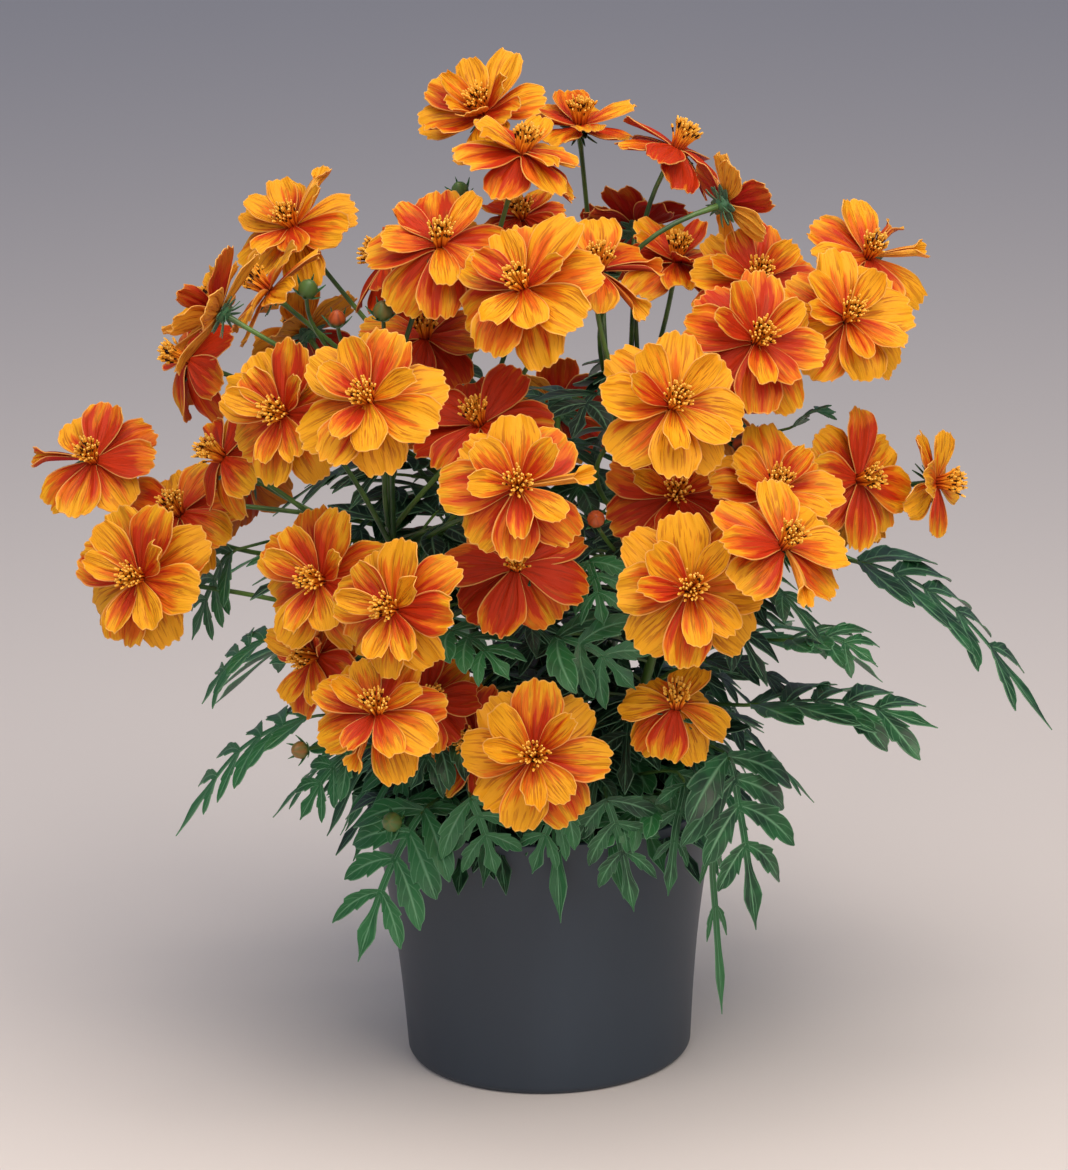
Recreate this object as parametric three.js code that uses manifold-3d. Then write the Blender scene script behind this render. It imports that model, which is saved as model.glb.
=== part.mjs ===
// A potted orange cosmos: a flared plastic pot, its soil, four branching leafy stems
// and the semi-double blooms that they carry.
// Millimetres, +Z up. The origin is the centre of the pot's underside, -Y is the front.

import * as THREE from 'three';
import { mergeVertices } from 'three/addons/utils/BufferGeometryUtils.js';
import Module from 'manifold-3d';

const wasm = await Module();
wasm.setup();

// Pot
const POT_HEIGHT = 112;
const POT_RIM_RADIUS = 73.2;
const POT_BASE_RADIUS = 58;
const POT_WALL = 2.4;
const POT_FLOOR = 4;
const POT_FOOT_ROUND = 2.2;
const POT_SIDE_HEIGHTS = [40, 70, 92];
const POT_SEGMENTS = 24;

// The wall runs straight outwards for one share of its flare and curls out for the rest
const POT_STRAIGHT_SHARE = 0.42;
const POT_CURL_POWER = 2.6;

// Soil
const SOIL_TOP = 99;
const SOIL_CROWN = 3;
const SOIL_WAIST = 70;
const SOIL_SEGMENTS = 15;

// The gap between touching pieces, the soil's further gap to the faceted wall, the room that
// leaves keep round the other stems and their leaves, and the sides of the room round a bloom
const SEAT_GAP = 0.3;
const WALL_GAP = 1.6;
const LEAF_CLEARANCE = 0.35;
const ROOM_SIDES = 8;

// Stems and stalks
const STEM_RADIUS = 2.2;
const STEM_FOOT = 72;
const STEM_KNEE = 8;
const STEM_TIP_FREE = 3;
const STEM_SIDES = 5;
const STEM_STEPS = 5;
const STALK_RADIUS = 1.15;
const BUD_STALK_RADIUS = 0.92;
const STALK_SIDES = 3;
const STALK_STEPS = 3;
const STALK_LOWEST = 12;

// Where a stalk leaves its stem, as a share of its hub's height, and how its curve is drawn:
// the rise and spread at its root and the straight neck behind the bloom, as shares of its span
const STALK_LEAVE = 0.6;
const STALK_LEAVE_VARIES = 0.05;
const STALK_RISE = 0.24;
const STALK_SPREAD = 0.14;
const STALK_NECK = 0.32;

// What stands further forward than this is carried by the two near stems
const NEAR_STEMS_REACH = 58;

// Blooms
const HUB_SIDES = 8;
const HUB_RADIUS = 4.4;
const PETAL_THICKNESS = 0.95;
const DISC_HEIGHT = 11.5;
const DISC_RADIUS = 5.5;
const HUB_CONE = 3.2;

// Leaves
const LEAF_THICKNESS = 0.8;
const LEAF_RIB = 1.5;
const LEAF_END_RIB = 3;

// Shares of a leaf's rib: the bare stalk before the blade, and the blade's pointed end
const LEAF_STALK_SHARE = 0.36;
const LEAF_END_SHARE = 0.18;

// How far a lobe sweeps forward and hangs, as shares of its reach sideways, and how far below
// the blade's base the leaf leaves its stem
const LOBE_SWEEP = 0.62;
const LOBE_DROOP = 0.12;
const LEAF_DROP = 20;

// The picture that the places were read from: 1068 by 1170 pixels, taken from 2 m away
const PICTURE_CENTRE = new THREE.Vector2(534, 585);
const FOCAL_LENGTH = 4975;
const CAMERA_DISTANCE = 2000;
const CAMERA_PITCH = THREE.MathUtils.degToRad(16.5);
const CAMERA_ROLL = THREE.MathUtils.degToRad(1.4);
const CAMERA_TARGET = new THREE.Vector3(-1.87, 0, 197.1);

// Every bloom that shows from the front: the pixel of its hub, how far its hub stands in
// front of the pot's axis, its width across, the way it faces (yaw to the right of the
// front, rise above level) and the turn of its petals about its own axis. Droop is how far its
// petals hang, in degrees. A single bloom has no small inner petals. Leave is the share of the
// hub's height at which the stalk leaves its stem, and bend bows the stalk sideways, clear of
// its neighbours
const FRONT_BLOOMS = [
  { px: 484, py: 113, toward: -8, across: 54, yaw: -35, rise: 52, turn: 10, droop: -14 },
  { px: 521, py: 156, toward: 40, across: 56, yaw: 55, rise: 70, turn: 0, droop: 20 },
  {
    px: 580, py: 126, toward: -34, across: 46, yaw: 15, rise: 78, turn: 20, droop: -8,
    single: true, leave: 0.54, bend: 10,
  },
  {
    px: 676, py: 150, toward: -8, across: 50, yaw: 88, rise: 62, turn: 0, droop: 22,
    single: true, leave: 0.6, bend: 8,
  },
  {
    px: 726, py: 203, toward: 38, across: 42, yaw: 120, rise: 12, turn: 10, droop: -12,
    single: true, bend: 26,
  },
  { px: 294, py: 228, toward: -28, across: 56, yaw: -35, rise: 50, turn: 15 },
  { px: 270, py: 292, toward: 14, across: 50, yaw: -95, rise: 42, turn: 0, single: true },
  { px: 220, py: 312, toward: 56, across: 54, yaw: -108, rise: 28, turn: 0, droop: -8 },
  { px: 190, py: 360, toward: 18, across: 52, yaw: -66, rise: 28, turn: 20, droop: 24, single: true },
  { px: 440, py: 248, toward: 66, across: 60, yaw: 5, rise: 58, turn: 22, droop: 26, leave: 0.6, bend: 26 },
  { px: 525, py: 289, toward: 96, across: 62, yaw: -28, rise: 42, turn: 5, bend: -12 },
  { px: 598, py: 271, toward: 70, across: 54, yaw: 12, rise: 60, turn: 12, single: true },
  { px: 676, py: 263, toward: 14, across: 54, yaw: 30, rise: 74, turn: 0 },
  { px: 757, py: 282, toward: 37, across: 54, yaw: 10, rise: 45, turn: 8 },
  { px: 868, py: 258, toward: 4, across: 54, yaw: 28, rise: 50, turn: 18, single: true },
  { px: 846, py: 320, toward: 52, across: 58, yaw: 20, rise: 38, turn: 22 },
  { px: 756, py: 342, toward: 78, across: 58, yaw: 20, rise: 36, turn: 4 },
  { px: 94, py: 461, toward: 26, across: 52, yaw: -20, rise: 42, turn: 22, single: true },
  { px: 142, py: 578, toward: 72, across: 60, yaw: -30, rise: 20, turn: 12 },
  { px: 224, py: 458, toward: 62, across: 50, yaw: -58, rise: 34, turn: 0, droop: 24, single: true },
  { px: 180, py: 514, toward: 42, across: 52, yaw: -30, rise: 48, turn: 10, droop: 20, single: true },
  { px: 285, py: 414, toward: 92, across: 56, yaw: -30, rise: 22, turn: 18 },
  { px: 370, py: 402, toward: 116, across: 60, yaw: -20, rise: 38, turn: 0 },
  { px: 426, py: 338, toward: 36, across: 54, yaw: -10, rise: 60, turn: 10, single: true },
  { px: 518, py: 487, toward: 134, across: 58, yaw: 0, rise: 28, turn: 22, leave: 0.66 },
  { px: 672, py: 407, toward: 112, across: 60, yaw: 18, rise: 38, turn: 10, bend: 34, leave: 0.6 },
  { px: 676, py: 496, toward: 79, across: 56, yaw: 5, rise: 30, turn: 0 },
  { px: 774, py: 494, toward: 96, across: 56, yaw: 22, rise: 50, turn: 15, leave: 0.6 },
  { px: 858, py: 480, toward: 56, across: 54, yaw: 42, rise: 20, turn: 5, single: true },
  { px: 935, py: 483, toward: 36, across: 45, yaw: 66, rise: 8, turn: 0, single: true },
  { px: 690, py: 590, toward: 136, across: 60, yaw: 5, rise: 24, turn: 22 },
  { px: 783, py: 547, toward: 139, across: 56, yaw: 36, rise: 46, turn: 8, single: true },
  { px: 516, py: 568, toward: 108, across: 58, yaw: 0, rise: 40, turn: 12, droop: 22, single: true },
  { px: 322, py: 580, toward: 112, across: 56, yaw: -30, rise: 20, turn: 4 },
  { px: 395, py: 609, toward: 142, across: 54, yaw: -30, rise: 20, turn: 18 },
  { px: 318, py: 656, toward: 96, across: 52, yaw: -50, rise: 12, turn: 12 },
  { px: 378, py: 714, toward: 144, across: 54, yaw: -10, rise: 48, turn: 0, droop: 18, bend: 18 },
  { px: 534, py: 757, toward: 124, across: 58, yaw: 0, rise: 24, turn: 16, bend: -6 },
  { px: 676, py: 708, toward: 112, across: 48, yaw: 8, rise: 58, turn: 0, droop: 38, single: true },
  { px: 478, py: 740, toward: 82, across: 50, yaw: -35, rise: 18, turn: 4, droop: 0, single: true },
  { px: 480, py: 425, toward: 82, across: 56, yaw: -20, rise: 55, turn: 0, single: true },
  { px: 424, py: 700, toward: 96, across: 45, yaw: 25, rise: 22, turn: 10, droop: 0, single: true },
  { px: 522, py: 218, toward: 4, across: 34, yaw: -15, rise: 60, turn: 0, single: true },
  { px: 636, py: 228, toward: -26, across: 46, yaw: 170, rise: 45, turn: 10, droop: 0, single: true },
  { px: 388, py: 262, toward: 8, across: 48, yaw: -80, rise: 35, turn: 5, single: true },
];

// The blooms of the far side, by the place of the hub itself: x to the right and z up
const BACK_BLOOMS = [
  { x: -92, z: 292, toward: -48, across: 52, yaw: -140, rise: 38, turn: 0, single: true },
  { x: -36, z: 312, toward: -72, across: 56, yaw: -170, rise: 50, turn: 12, single: true },
  { x: 32, z: 318, toward: -76, across: 54, yaw: 165, rise: 48, turn: 20, single: true },
  { x: 96, z: 296, toward: -62, across: 56, yaw: 140, rise: 35, turn: 6, single: true },
  { x: -118, z: 226, toward: -72, across: 54, yaw: -130, rise: 22, turn: 16, single: true },
  { x: -58, z: 246, toward: -112, across: 58, yaw: -158, rise: 26, turn: 4, single: true },
  { x: 10, z: 236, toward: -126, across: 56, yaw: 178, rise: 22, turn: 22, single: true },
  { x: 74, z: 240, toward: -110, across: 54, yaw: 155, rise: 26, turn: 10, single: true },
  { x: 128, z: 216, toward: -66, across: 52, yaw: 128, rise: 18, turn: 0, single: true },
];

// The four stems: foot in the soil and top of the woody part
const STEMS = [
  { foot: [-26, 18], top: [-58, 44, 236] },
  { foot: [26, 18], top: [58, 44, 238] },
  { foot: [-22, -24], top: [-34, -28, 282] },
  { foot: [24, -22], top: [38, -26, 286] },
];

// Leaves that show from the front: pixels of the blade's base and tip, how far both stand in
// front of the axis, the blade's width, its pairs of lobes, and how high its rib arches
const FRONT_LEAVES = [
  { base: [848, 560, 12], tip: [1052, 730, 26], width: 66, pairs: 5, arch: 16 },
  { base: [745, 705, 58], tip: [938, 728, 66], width: 74, pairs: 5, arch: 6 },
  { base: [724, 752, 76], tip: [756, 930, 90], width: 60, pairs: 4, arch: 12 },
  { base: [704, 800, 66], tip: [722, 1014, 64], width: 18, pairs: 3, arch: 10 },
  { base: [684, 780, 84], tip: [668, 896, 90], width: 24, pairs: 3, arch: 4 },
  { base: [606, 796, 88], tip: [634, 912, 92], width: 38, pairs: 3, arch: 6 },
  { base: [566, 800, 92], tip: [532, 874, 94], width: 34, pairs: 3, arch: 4 },
  { base: [470, 796, 92], tip: [496, 876, 94], width: 40, pairs: 3, arch: 4 },
  { base: [428, 806, 76], tip: [358, 962, 90], width: 56, pairs: 4, arch: 8 },
  { base: [316, 716, 70], tip: [176, 836, 52], width: 42, pairs: 5, arch: 12 },
  { base: [270, 640, 62], tip: [202, 704, 48], width: 38, pairs: 4, arch: 6 },
  { base: [352, 752, 84], tip: [300, 820, 84], width: 34, pairs: 3, arch: 4 },
  { base: [448, 630, 92], tip: [510, 680, 114], width: 44, pairs: 3, arch: 4 },
  { base: [556, 636, 92], tip: [636, 690, 108], width: 46, pairs: 3, arch: 5 },
  { base: [786, 640, 58], tip: [876, 664, 72], width: 48, pairs: 4, arch: 6 },
  { base: [590, 560, 90], tip: [604, 626, 104], width: 30, pairs: 3, arch: 3 },
  { base: [236, 550, 44], tip: [192, 640, 34], width: 38, pairs: 4, arch: 5 },
  { base: [790, 428, 30], tip: [836, 412, 20], width: 22, pairs: 3, arch: 3 },
  { base: [450, 730, 78], tip: [410, 790, 92], width: 40, pairs: 3, arch: 4 },
  { base: [408, 800, 66], tip: [440, 860, 84], width: 34, pairs: 3, arch: 4 },
  { base: [650, 806, 78], tip: [600, 850, 92], width: 34, pairs: 3, arch: 4 },
];

// Leaves of the far side and the flanks, by place: x to the right, y back, z up
const BACK_LEAVES = [
  { base: [-70, 70, 150], tip: [-140, 120, 112], width: 58, pairs: 3, arch: 14 },
  { base: [-20, 92, 150], tip: [-46, 170, 104], width: 58, pairs: 3, arch: 14 },
  { base: [34, 92, 148], tip: [58, 168, 100], width: 58, pairs: 3, arch: 14 },
  { base: [78, 64, 152], tip: [146, 108, 118], width: 58, pairs: 3, arch: 14 },
  { base: [-76, 44, 200], tip: [-138, 84, 176], width: 48, pairs: 3, arch: 8 },
  { base: [80, 36, 200], tip: [146, 62, 178], width: 48, pairs: 3, arch: 8 },
  { base: [4, 80, 190], tip: [8, 140, 166], width: 48, pairs: 3, arch: 8 },
  { base: [-6, 66, 124], tip: [-10, 104, 66], width: 46, pairs: 3, arch: 8 },
  { base: [-64, 10, 128], tip: [-112, 26, 92], width: 44, pairs: 3, arch: 8 },
  { base: [66, 14, 128], tip: [112, 34, 90], width: 44, pairs: 3, arch: 8 },
  { base: [-50, 54, 126], tip: [-82, 84, 74], width: 44, pairs: 3, arch: 8 },
  { base: [52, 52, 126], tip: [86, 80, 78], width: 44, pairs: 3, arch: 8 },
];

// Buds that show from the front
const BUDS = [
  { px: 460, py: 190, toward: 12, yaw: -20, rise: 50, size: 7 },
  { px: 308, py: 289, toward: 30, yaw: 20, rise: 50, size: 8 },
  { px: 337, py: 319, toward: 40, yaw: 0, rise: 65, size: 7 },
  { px: 383, py: 311, toward: 66, yaw: 0, rise: 60, size: 8 },
  { px: 745, py: 444, toward: 68, yaw: 10, rise: 30, size: 10, bend: -12 },
  { px: 596, py: 519, toward: 104, yaw: 0, rise: 30, size: 7 },
  { px: 300, py: 750, toward: 100, yaw: -40, rise: 10, size: 7 },
  { px: 392, py: 822, toward: 92, yaw: -10, rise: 20, size: 8 },
];

// Colours
const POT_COLOUR = 0x3a4046;
const SOIL_COLOUR = 0x2b211a;
const GREEN = 0x2c5a35;
const ORANGE = 0xf58a14;

const UP = new THREE.Vector3(0, 0, 1);
const FULL_TURN = Math.PI * 2;
const HALVINGS = 24;
const FIRST_BUD_SEED = 70;

// A repeatable number from -1 to 1 for a pair of counts
function wobble(first, second) {
  const wave = Math.sin(first * 12.9898 + second * 78.233) * 43758.5453;
  return (wave - Math.floor(wave)) * 2 - 1;
}

// The point that the picture shows at a pixel, so far in front of the axis
function sight(px, py, toward) {
  const across = (px - PICTURE_CENTRE.x) / FOCAL_LENGTH;
  const down = (py - PICTURE_CENTRE.y) / FOCAL_LENGTH;
  const right = across * Math.cos(CAMERA_ROLL) - down * Math.sin(CAMERA_ROLL);
  const upward = -across * Math.sin(CAMERA_ROLL) - down * Math.cos(CAMERA_ROLL);
  const ahead = new THREE.Vector3(0, Math.cos(CAMERA_PITCH), -Math.sin(CAMERA_PITCH));
  const above = new THREE.Vector3(0, Math.sin(CAMERA_PITCH), Math.cos(CAMERA_PITCH));
  const eye = CAMERA_TARGET.clone().addScaledVector(ahead, -CAMERA_DISTANCE);
  const ray = ahead.addScaledVector(above, upward);
  ray.x += right;
  return eye.addScaledVector(ray, (-toward - eye.y) / ray.y);
}

// The unit vector of a facing: yaw to the right of the front, rise above level
function facing(yaw, rise) {
  const turn = THREE.MathUtils.degToRad(yaw);
  const lift = THREE.MathUtils.degToRad(rise);
  return new THREE.Vector3(
    Math.sin(turn) * Math.cos(lift), -Math.cos(turn) * Math.cos(lift), Math.sin(lift));
}

function placed(item) {
  const hub = item.px === undefined
    ? new THREE.Vector3(item.x, -item.toward, item.z)
    : sight(item.px, item.py, item.toward);
  return { ...item, hub, axis: facing(item.yaw, item.rise) };
}

function closedGeometry(positions, triangles) {
  const geometry = new THREE.BufferGeometry();
  geometry.setAttribute('position', new THREE.Float32BufferAttribute(positions.flat(), 3));
  geometry.setIndex(triangles.flat());
  return geometry;
}

// A three.js geometry as a solid
function solid(geometry) {
  const bare = geometry.clone();
  bare.deleteAttribute('normal');
  bare.deleteAttribute('uv');
  const merged = mergeVertices(bare, 1e-4);
  return new wasm.Manifold(new wasm.Mesh({
    numProp: 3,
    vertProperties: new Float32Array(merged.attributes.position.array),
    triVerts: new Uint32Array(merged.index.array),
  }));
}

function geometryOf(manifold) {
  const mesh = manifold.getMesh();
  const geometry = new THREE.BufferGeometry();
  geometry.setAttribute('position', new THREE.Float32BufferAttribute(mesh.vertProperties, 3));
  geometry.setIndex(new THREE.BufferAttribute(mesh.triVerts, 1));
  geometry.computeVertexNormals();
  return geometry;
}

function joined(solids) {
  return solids.reduce((sum, next) => sum.add(next));
}

function named(name, geometry, colour, roughness) {
  const material = new THREE.MeshStandardMaterial({ color: colour, roughness, metalness: 0 });
  const mesh = new THREE.Mesh(geometry, material);
  mesh.name = name;
  return mesh;
}

// The lathe turns about +Y, so the profile is swung up to +Z
function turned(profile, segments) {
  const points = profile.map(([radius, height]) => new THREE.Vector2(radius, height));
  return new THREE.LatheGeometry(points, segments).rotateX(Math.PI / 2);
}

// The outer wall's radius at a height: straight from the foot, then a gentle outward flare
function potRadius(height) {
  const part = height / POT_HEIGHT;
  const flare = POT_RIM_RADIUS - POT_BASE_RADIUS;
  const curl = (1 - POT_STRAIGHT_SHARE) * part ** POT_CURL_POWER;
  return POT_BASE_RADIUS + flare * (POT_STRAIGHT_SHARE * part + curl);
}

function potGeometry() {
  const round = POT_FOOT_ROUND;
  const foot = [[POT_BASE_RADIUS - round * 1.6, 0], [POT_BASE_RADIUS - round * 0.4, round * 0.5]];
  const outside = [round * 2, ...POT_SIDE_HEIGHTS, POT_HEIGHT]
    .map((height) => [potRadius(height), height]);
  const inside = [POT_HEIGHT, SOIL_WAIST, POT_FLOOR]
    .map((height) => [potRadius(height) - POT_WALL, height]);
  return turned([[0, 0], ...foot, ...outside, ...inside, [0, POT_FLOOR]], POT_SEGMENTS);
}

function soilSolid() {
  const side = [POT_FLOOR + SEAT_GAP, SOIL_WAIST, SOIL_TOP]
    .map((height) => [potRadius(height) - POT_WALL - WALL_GAP, height]);
  const profile = [[0, POT_FLOOR + SEAT_GAP], ...side, [0, SOIL_TOP + SOIL_CROWN]];
  return solid(turned(profile, SOIL_SEGMENTS));
}

// A rod of round section along a curve
function rod(route, radius, sides, steps) {
  const section = new THREE.Shape();
  for (let side = 0; side < sides; side += 1) {
    const angle = side / sides * FULL_TURN;
    const x = radius * Math.cos(angle);
    const y = radius * Math.sin(angle);
    if (side === 0) section.moveTo(x, y);
    else section.lineTo(x, y);
  }
  section.closePath();
  const options = { extrudePath: route, steps, bevelEnabled: false };
  return solid(new THREE.ExtrudeGeometry(section, options));
}

// A stem stands upright through the soil and leans out from a knee just above it
function stemRoute(stem, footHeight) {
  const [footX, footToward] = stem.foot;
  const [topX, topToward, topHeight] = stem.top;
  const foot = new THREE.Vector3(footX, -footToward, footHeight);
  const knee = new THREE.Vector3(footX, -footToward, SOIL_TOP + STEM_KNEE);
  const top = new THREE.Vector3(topX, -topToward, topHeight);
  const waist = new THREE.Vector3(
    THREE.MathUtils.lerp(knee.x, top.x, 0.5),
    THREE.MathUtils.lerp(knee.y, top.y, 0.4),
    THREE.MathUtils.lerp(knee.z, top.z, 0.45));
  return new THREE.CatmullRomCurve3([foot, knee, waist, top]);
}

const STEM_ROUTES = STEMS.map((stem) => stemRoute(stem, STEM_FOOT));

// The stem that carries what ends at a point: left or right, then near or far
function stemOf(point) {
  return (point.x < 0 ? 0 : 1) + (-point.y > NEAR_STEMS_REACH ? 0 : 2);
}

// The point of a stem at a height, found by halving
function onStem(stem, height) {
  const route = STEM_ROUTES[stem];
  let low = 0;
  let high = 1;
  for (let pass = 0; pass < HALVINGS; pass += 1) {
    const middle = (low + high) / 2;
    if (route.getPoint(middle).z < height) low = middle;
    else high = middle;
  }
  return route.getPoint(low);
}

// A stalk leaves its stem upwards and reaches the hub from behind
function stalkRoute(item, seed, reach) {
  const stem = stemOf(item.hub);
  const leave = item.leave ?? STALK_LEAVE + STALK_LEAVE_VARIES * wobble(seed, 3);
  const wanted = SOIL_TOP + (item.hub.z - SOIL_TOP) * leave;
  const lowest = SOIL_TOP + STALK_LOWEST;
  const highest = STEMS[stem].top[2] - STEM_TIP_FREE;
  const start = onStem(stem, THREE.MathUtils.clamp(wanted, lowest, highest));
  const end = item.hub.clone().addScaledVector(item.axis, -reach);
  const way = new THREE.Vector3().subVectors(end, start);
  const span = way.length();
  const sideways = way.clone().cross(UP).setLength(1).multiplyScalar(item.bend ?? 0);
  const outward = way.clone().setZ(0).normalize();
  const first = start.clone().add(sideways)
    .addScaledVector(UP, span * STALK_RISE)
    .addScaledVector(outward, span * STALK_SPREAD);
  const second = end.clone().add(sideways).addScaledVector(item.axis, -span * STALK_NECK);
  return new THREE.CubicBezierCurve3(start, first, second, end);
}

// Petal layers: lift at the shoulder and at the tip in degrees, reach and width as shares of
// the bloom's radius, and the sectors of the hub that carry them
const LAYERS = [
  { lift: -3, tip: -12, reach: 1, half: 0.35, sectors: [0, 2, 4, 6] },
  { lift: 13, tip: 4, reach: 0.97, half: 0.34, sectors: [1, 3, 5, 7] },
  { lift: 36, tip: 40, reach: 0.66, half: 0.2, sectors: [0, 3, 5], small: true },
];

// How far a bloom's petals hang below their layer's lift, in degrees, where it names no other.
// One that points downhill hangs by up to twice as much, and one that points uphill hardly
const PETAL_DROOP = 8;

// A petal is widest at its shoulder, a share of its length, and its tip is a share as wide
const SHOULDER = 0.64;
const TIP_WIDTH = 0.62;

// How far petals differ from each other: shares of a sector, a length and a width, degrees of
// lift at the shoulder and at the tip, and a twist in millimetres
const PETAL_VARIES = { azimuth: 0.12, length: 0.07, width: 0.08, lift: 3.5, tip: 6, twist: 0.8 };

// A bloom in its own frame, facing +Z: a stack of eight-sided rings, with a layer of petals
// between each two rings, and the disc on top
function bloomGeometry(bloom, index, layers) {
  const positions = [];
  const triangles = [];
  const radius = bloom.across / 2;
  const sector = FULL_TURN / HUB_SIDES;
  const turn = THREE.MathUtils.degToRad(bloom.turn);
  const droop = THREE.MathUtils.degToRad(bloom.droop ?? PETAL_DROOP);
  const steepness = Math.cos(THREE.MathUtils.degToRad(bloom.rise));
  const put = (distance, azimuth, height) => {
    positions.push([distance * Math.cos(azimuth), distance * Math.sin(azimuth), height]);
    return positions.length - 1;
  };
  const ring = (distance, height) => Array.from({ length: HUB_SIDES },
    (_, side) => put(distance, turn + side * sector, height));
  const quad = (a, b, c, d) => triangles.push([a, b, c], [a, c, d]);

  const petal = (low, high, side, layer, order) => {
    const next = (side + 1) % HUB_SIDES;
    const vary = (trait, count) => PETAL_VARIES[trait] * wobble(index * 10 + order, side + count);
    const middle = turn + (side + 0.5 + vary('azimuth', 0)) * sector;
    const length = radius * layer.reach * (1 + vary('length', 20));
    const wide = radius * layer.half * (1 + vary('width', 40));
    const lift = THREE.MathUtils.degToRad(layer.lift + vary('lift', 60));
    const tip = THREE.MathUtils.degToRad(layer.tip + vary('tip', 80));
    const twist = vary('twist', 100);
    const shoulder = length * SHOULDER;
    const shoulderRise = Math.tan(lift) * (shoulder - HUB_RADIUS);
    const tipRise = shoulderRise + Math.tan(tip) * (length - shoulder);
    const hang = droop * (1 - Math.sin(middle) * steepness);
    const swung = ([along, aside, height]) => {
      const free = along - HUB_RADIUS;
      const out = HUB_RADIUS + free * Math.cos(hang) + height * Math.sin(hang);
      return [out, aside, height * Math.cos(hang) - free * Math.sin(hang)];
    };
    const place = ([along, aside, height], level) => put(
      Math.hypot(along, aside), middle + Math.atan2(aside, along), level + height);
    const outline = [
      [shoulder, -wide, shoulderRise + twist],
      [length, -wide * TIP_WIDTH, tipRise + twist],
      [length, wide * TIP_WIDTH, tipRise - twist],
      [shoulder, wide, shoulderRise - twist],
    ];
    const base = positions[low[0]][2];
    const crown = positions[high[0]][2];
    const corners = (layer.small ? outline.slice(1, 3) : outline).map(swung);
    const under = corners.map((corner) => place(corner, base));
    const over = corners.map((corner) => place(corner, crown));
    const last = corners.length - 1;
    quad(high[side], over[0], over[last], high[next]);
    quad(low[next], under[last], under[0], low[side]);
    if (!layer.small) {
      quad(over[0], over[1], over[2], over[3]);
      quad(under[3], under[2], under[1], under[0]);
    }
    const rimLow = [low[side], ...under, low[next]];
    const rimHigh = [high[side], ...over, high[next]];
    for (let step = 0; step < rimLow.length - 1; step += 1) {
      quad(rimLow[step], rimLow[step + 1], rimHigh[step + 1], rimHigh[step]);
    }
  };

  let low = ring(HUB_RADIUS, -PETAL_THICKNESS);
  const cone = put(0, 0, -PETAL_THICKNESS - HUB_CONE);
  low.forEach((corner, side) => triangles.push([cone, low[(side + 1) % HUB_SIDES], corner]));
  layers.forEach((layer, order) => {
    const high = ring(HUB_RADIUS, order * PETAL_THICKNESS);
    for (let side = 0; side < HUB_SIDES; side += 1) {
      const next = (side + 1) % HUB_SIDES;
      if (layer.sectors.includes(side)) petal(low, high, side, layer, order);
      else quad(low[side], low[next], high[next], high[side]);
    }
    low = high;
  });
  const corners = HUB_SIDES / 2;
  const brim = Array.from({ length: corners },
    (_, corner) => put(DISC_RADIUS, turn + (corner * 2 + 1) * sector, DISC_HEIGHT));
  brim.forEach((top, corner) => {
    const side = corner * 2;
    const after = (side + 2) % HUB_SIDES;
    triangles.push([low[side], low[side + 1], top], [low[side + 1], low[after], top]);
    triangles.push([low[after], brim[(corner + 1) % corners], top]);
  });
  quad(...brim);
  return closedGeometry(positions, triangles);
}

// Turns a piece that faces +Z, with its first petal to the right, to a facing at a point
function stand(geometry, item) {
  const across = new THREE.Vector3().crossVectors(UP, item.axis).normalize();
  const above = new THREE.Vector3().crossVectors(item.axis, across);
  const frame = new THREE.Matrix4().makeBasis(across, above, item.axis);
  return geometry.applyMatrix4(frame.setPosition(item.hub));
}

// The room that a bloom takes up, which leaves keep out of: a dish with the hub in its middle
function bloomRoom(bloom) {
  const radius = bloom.across / 2;
  const rim = radius * 1.1;
  const shoulder = radius * SHOULDER;
  const under = [[0, -6], [5.5, -2.4], [shoulder, -4], [rim, -8.5]];
  const over = [[rim, 9], [shoulder, 12], [0, 12]];
  return solid(stand(turned([...under, ...over], ROOM_SIDES), bloom));
}

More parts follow.
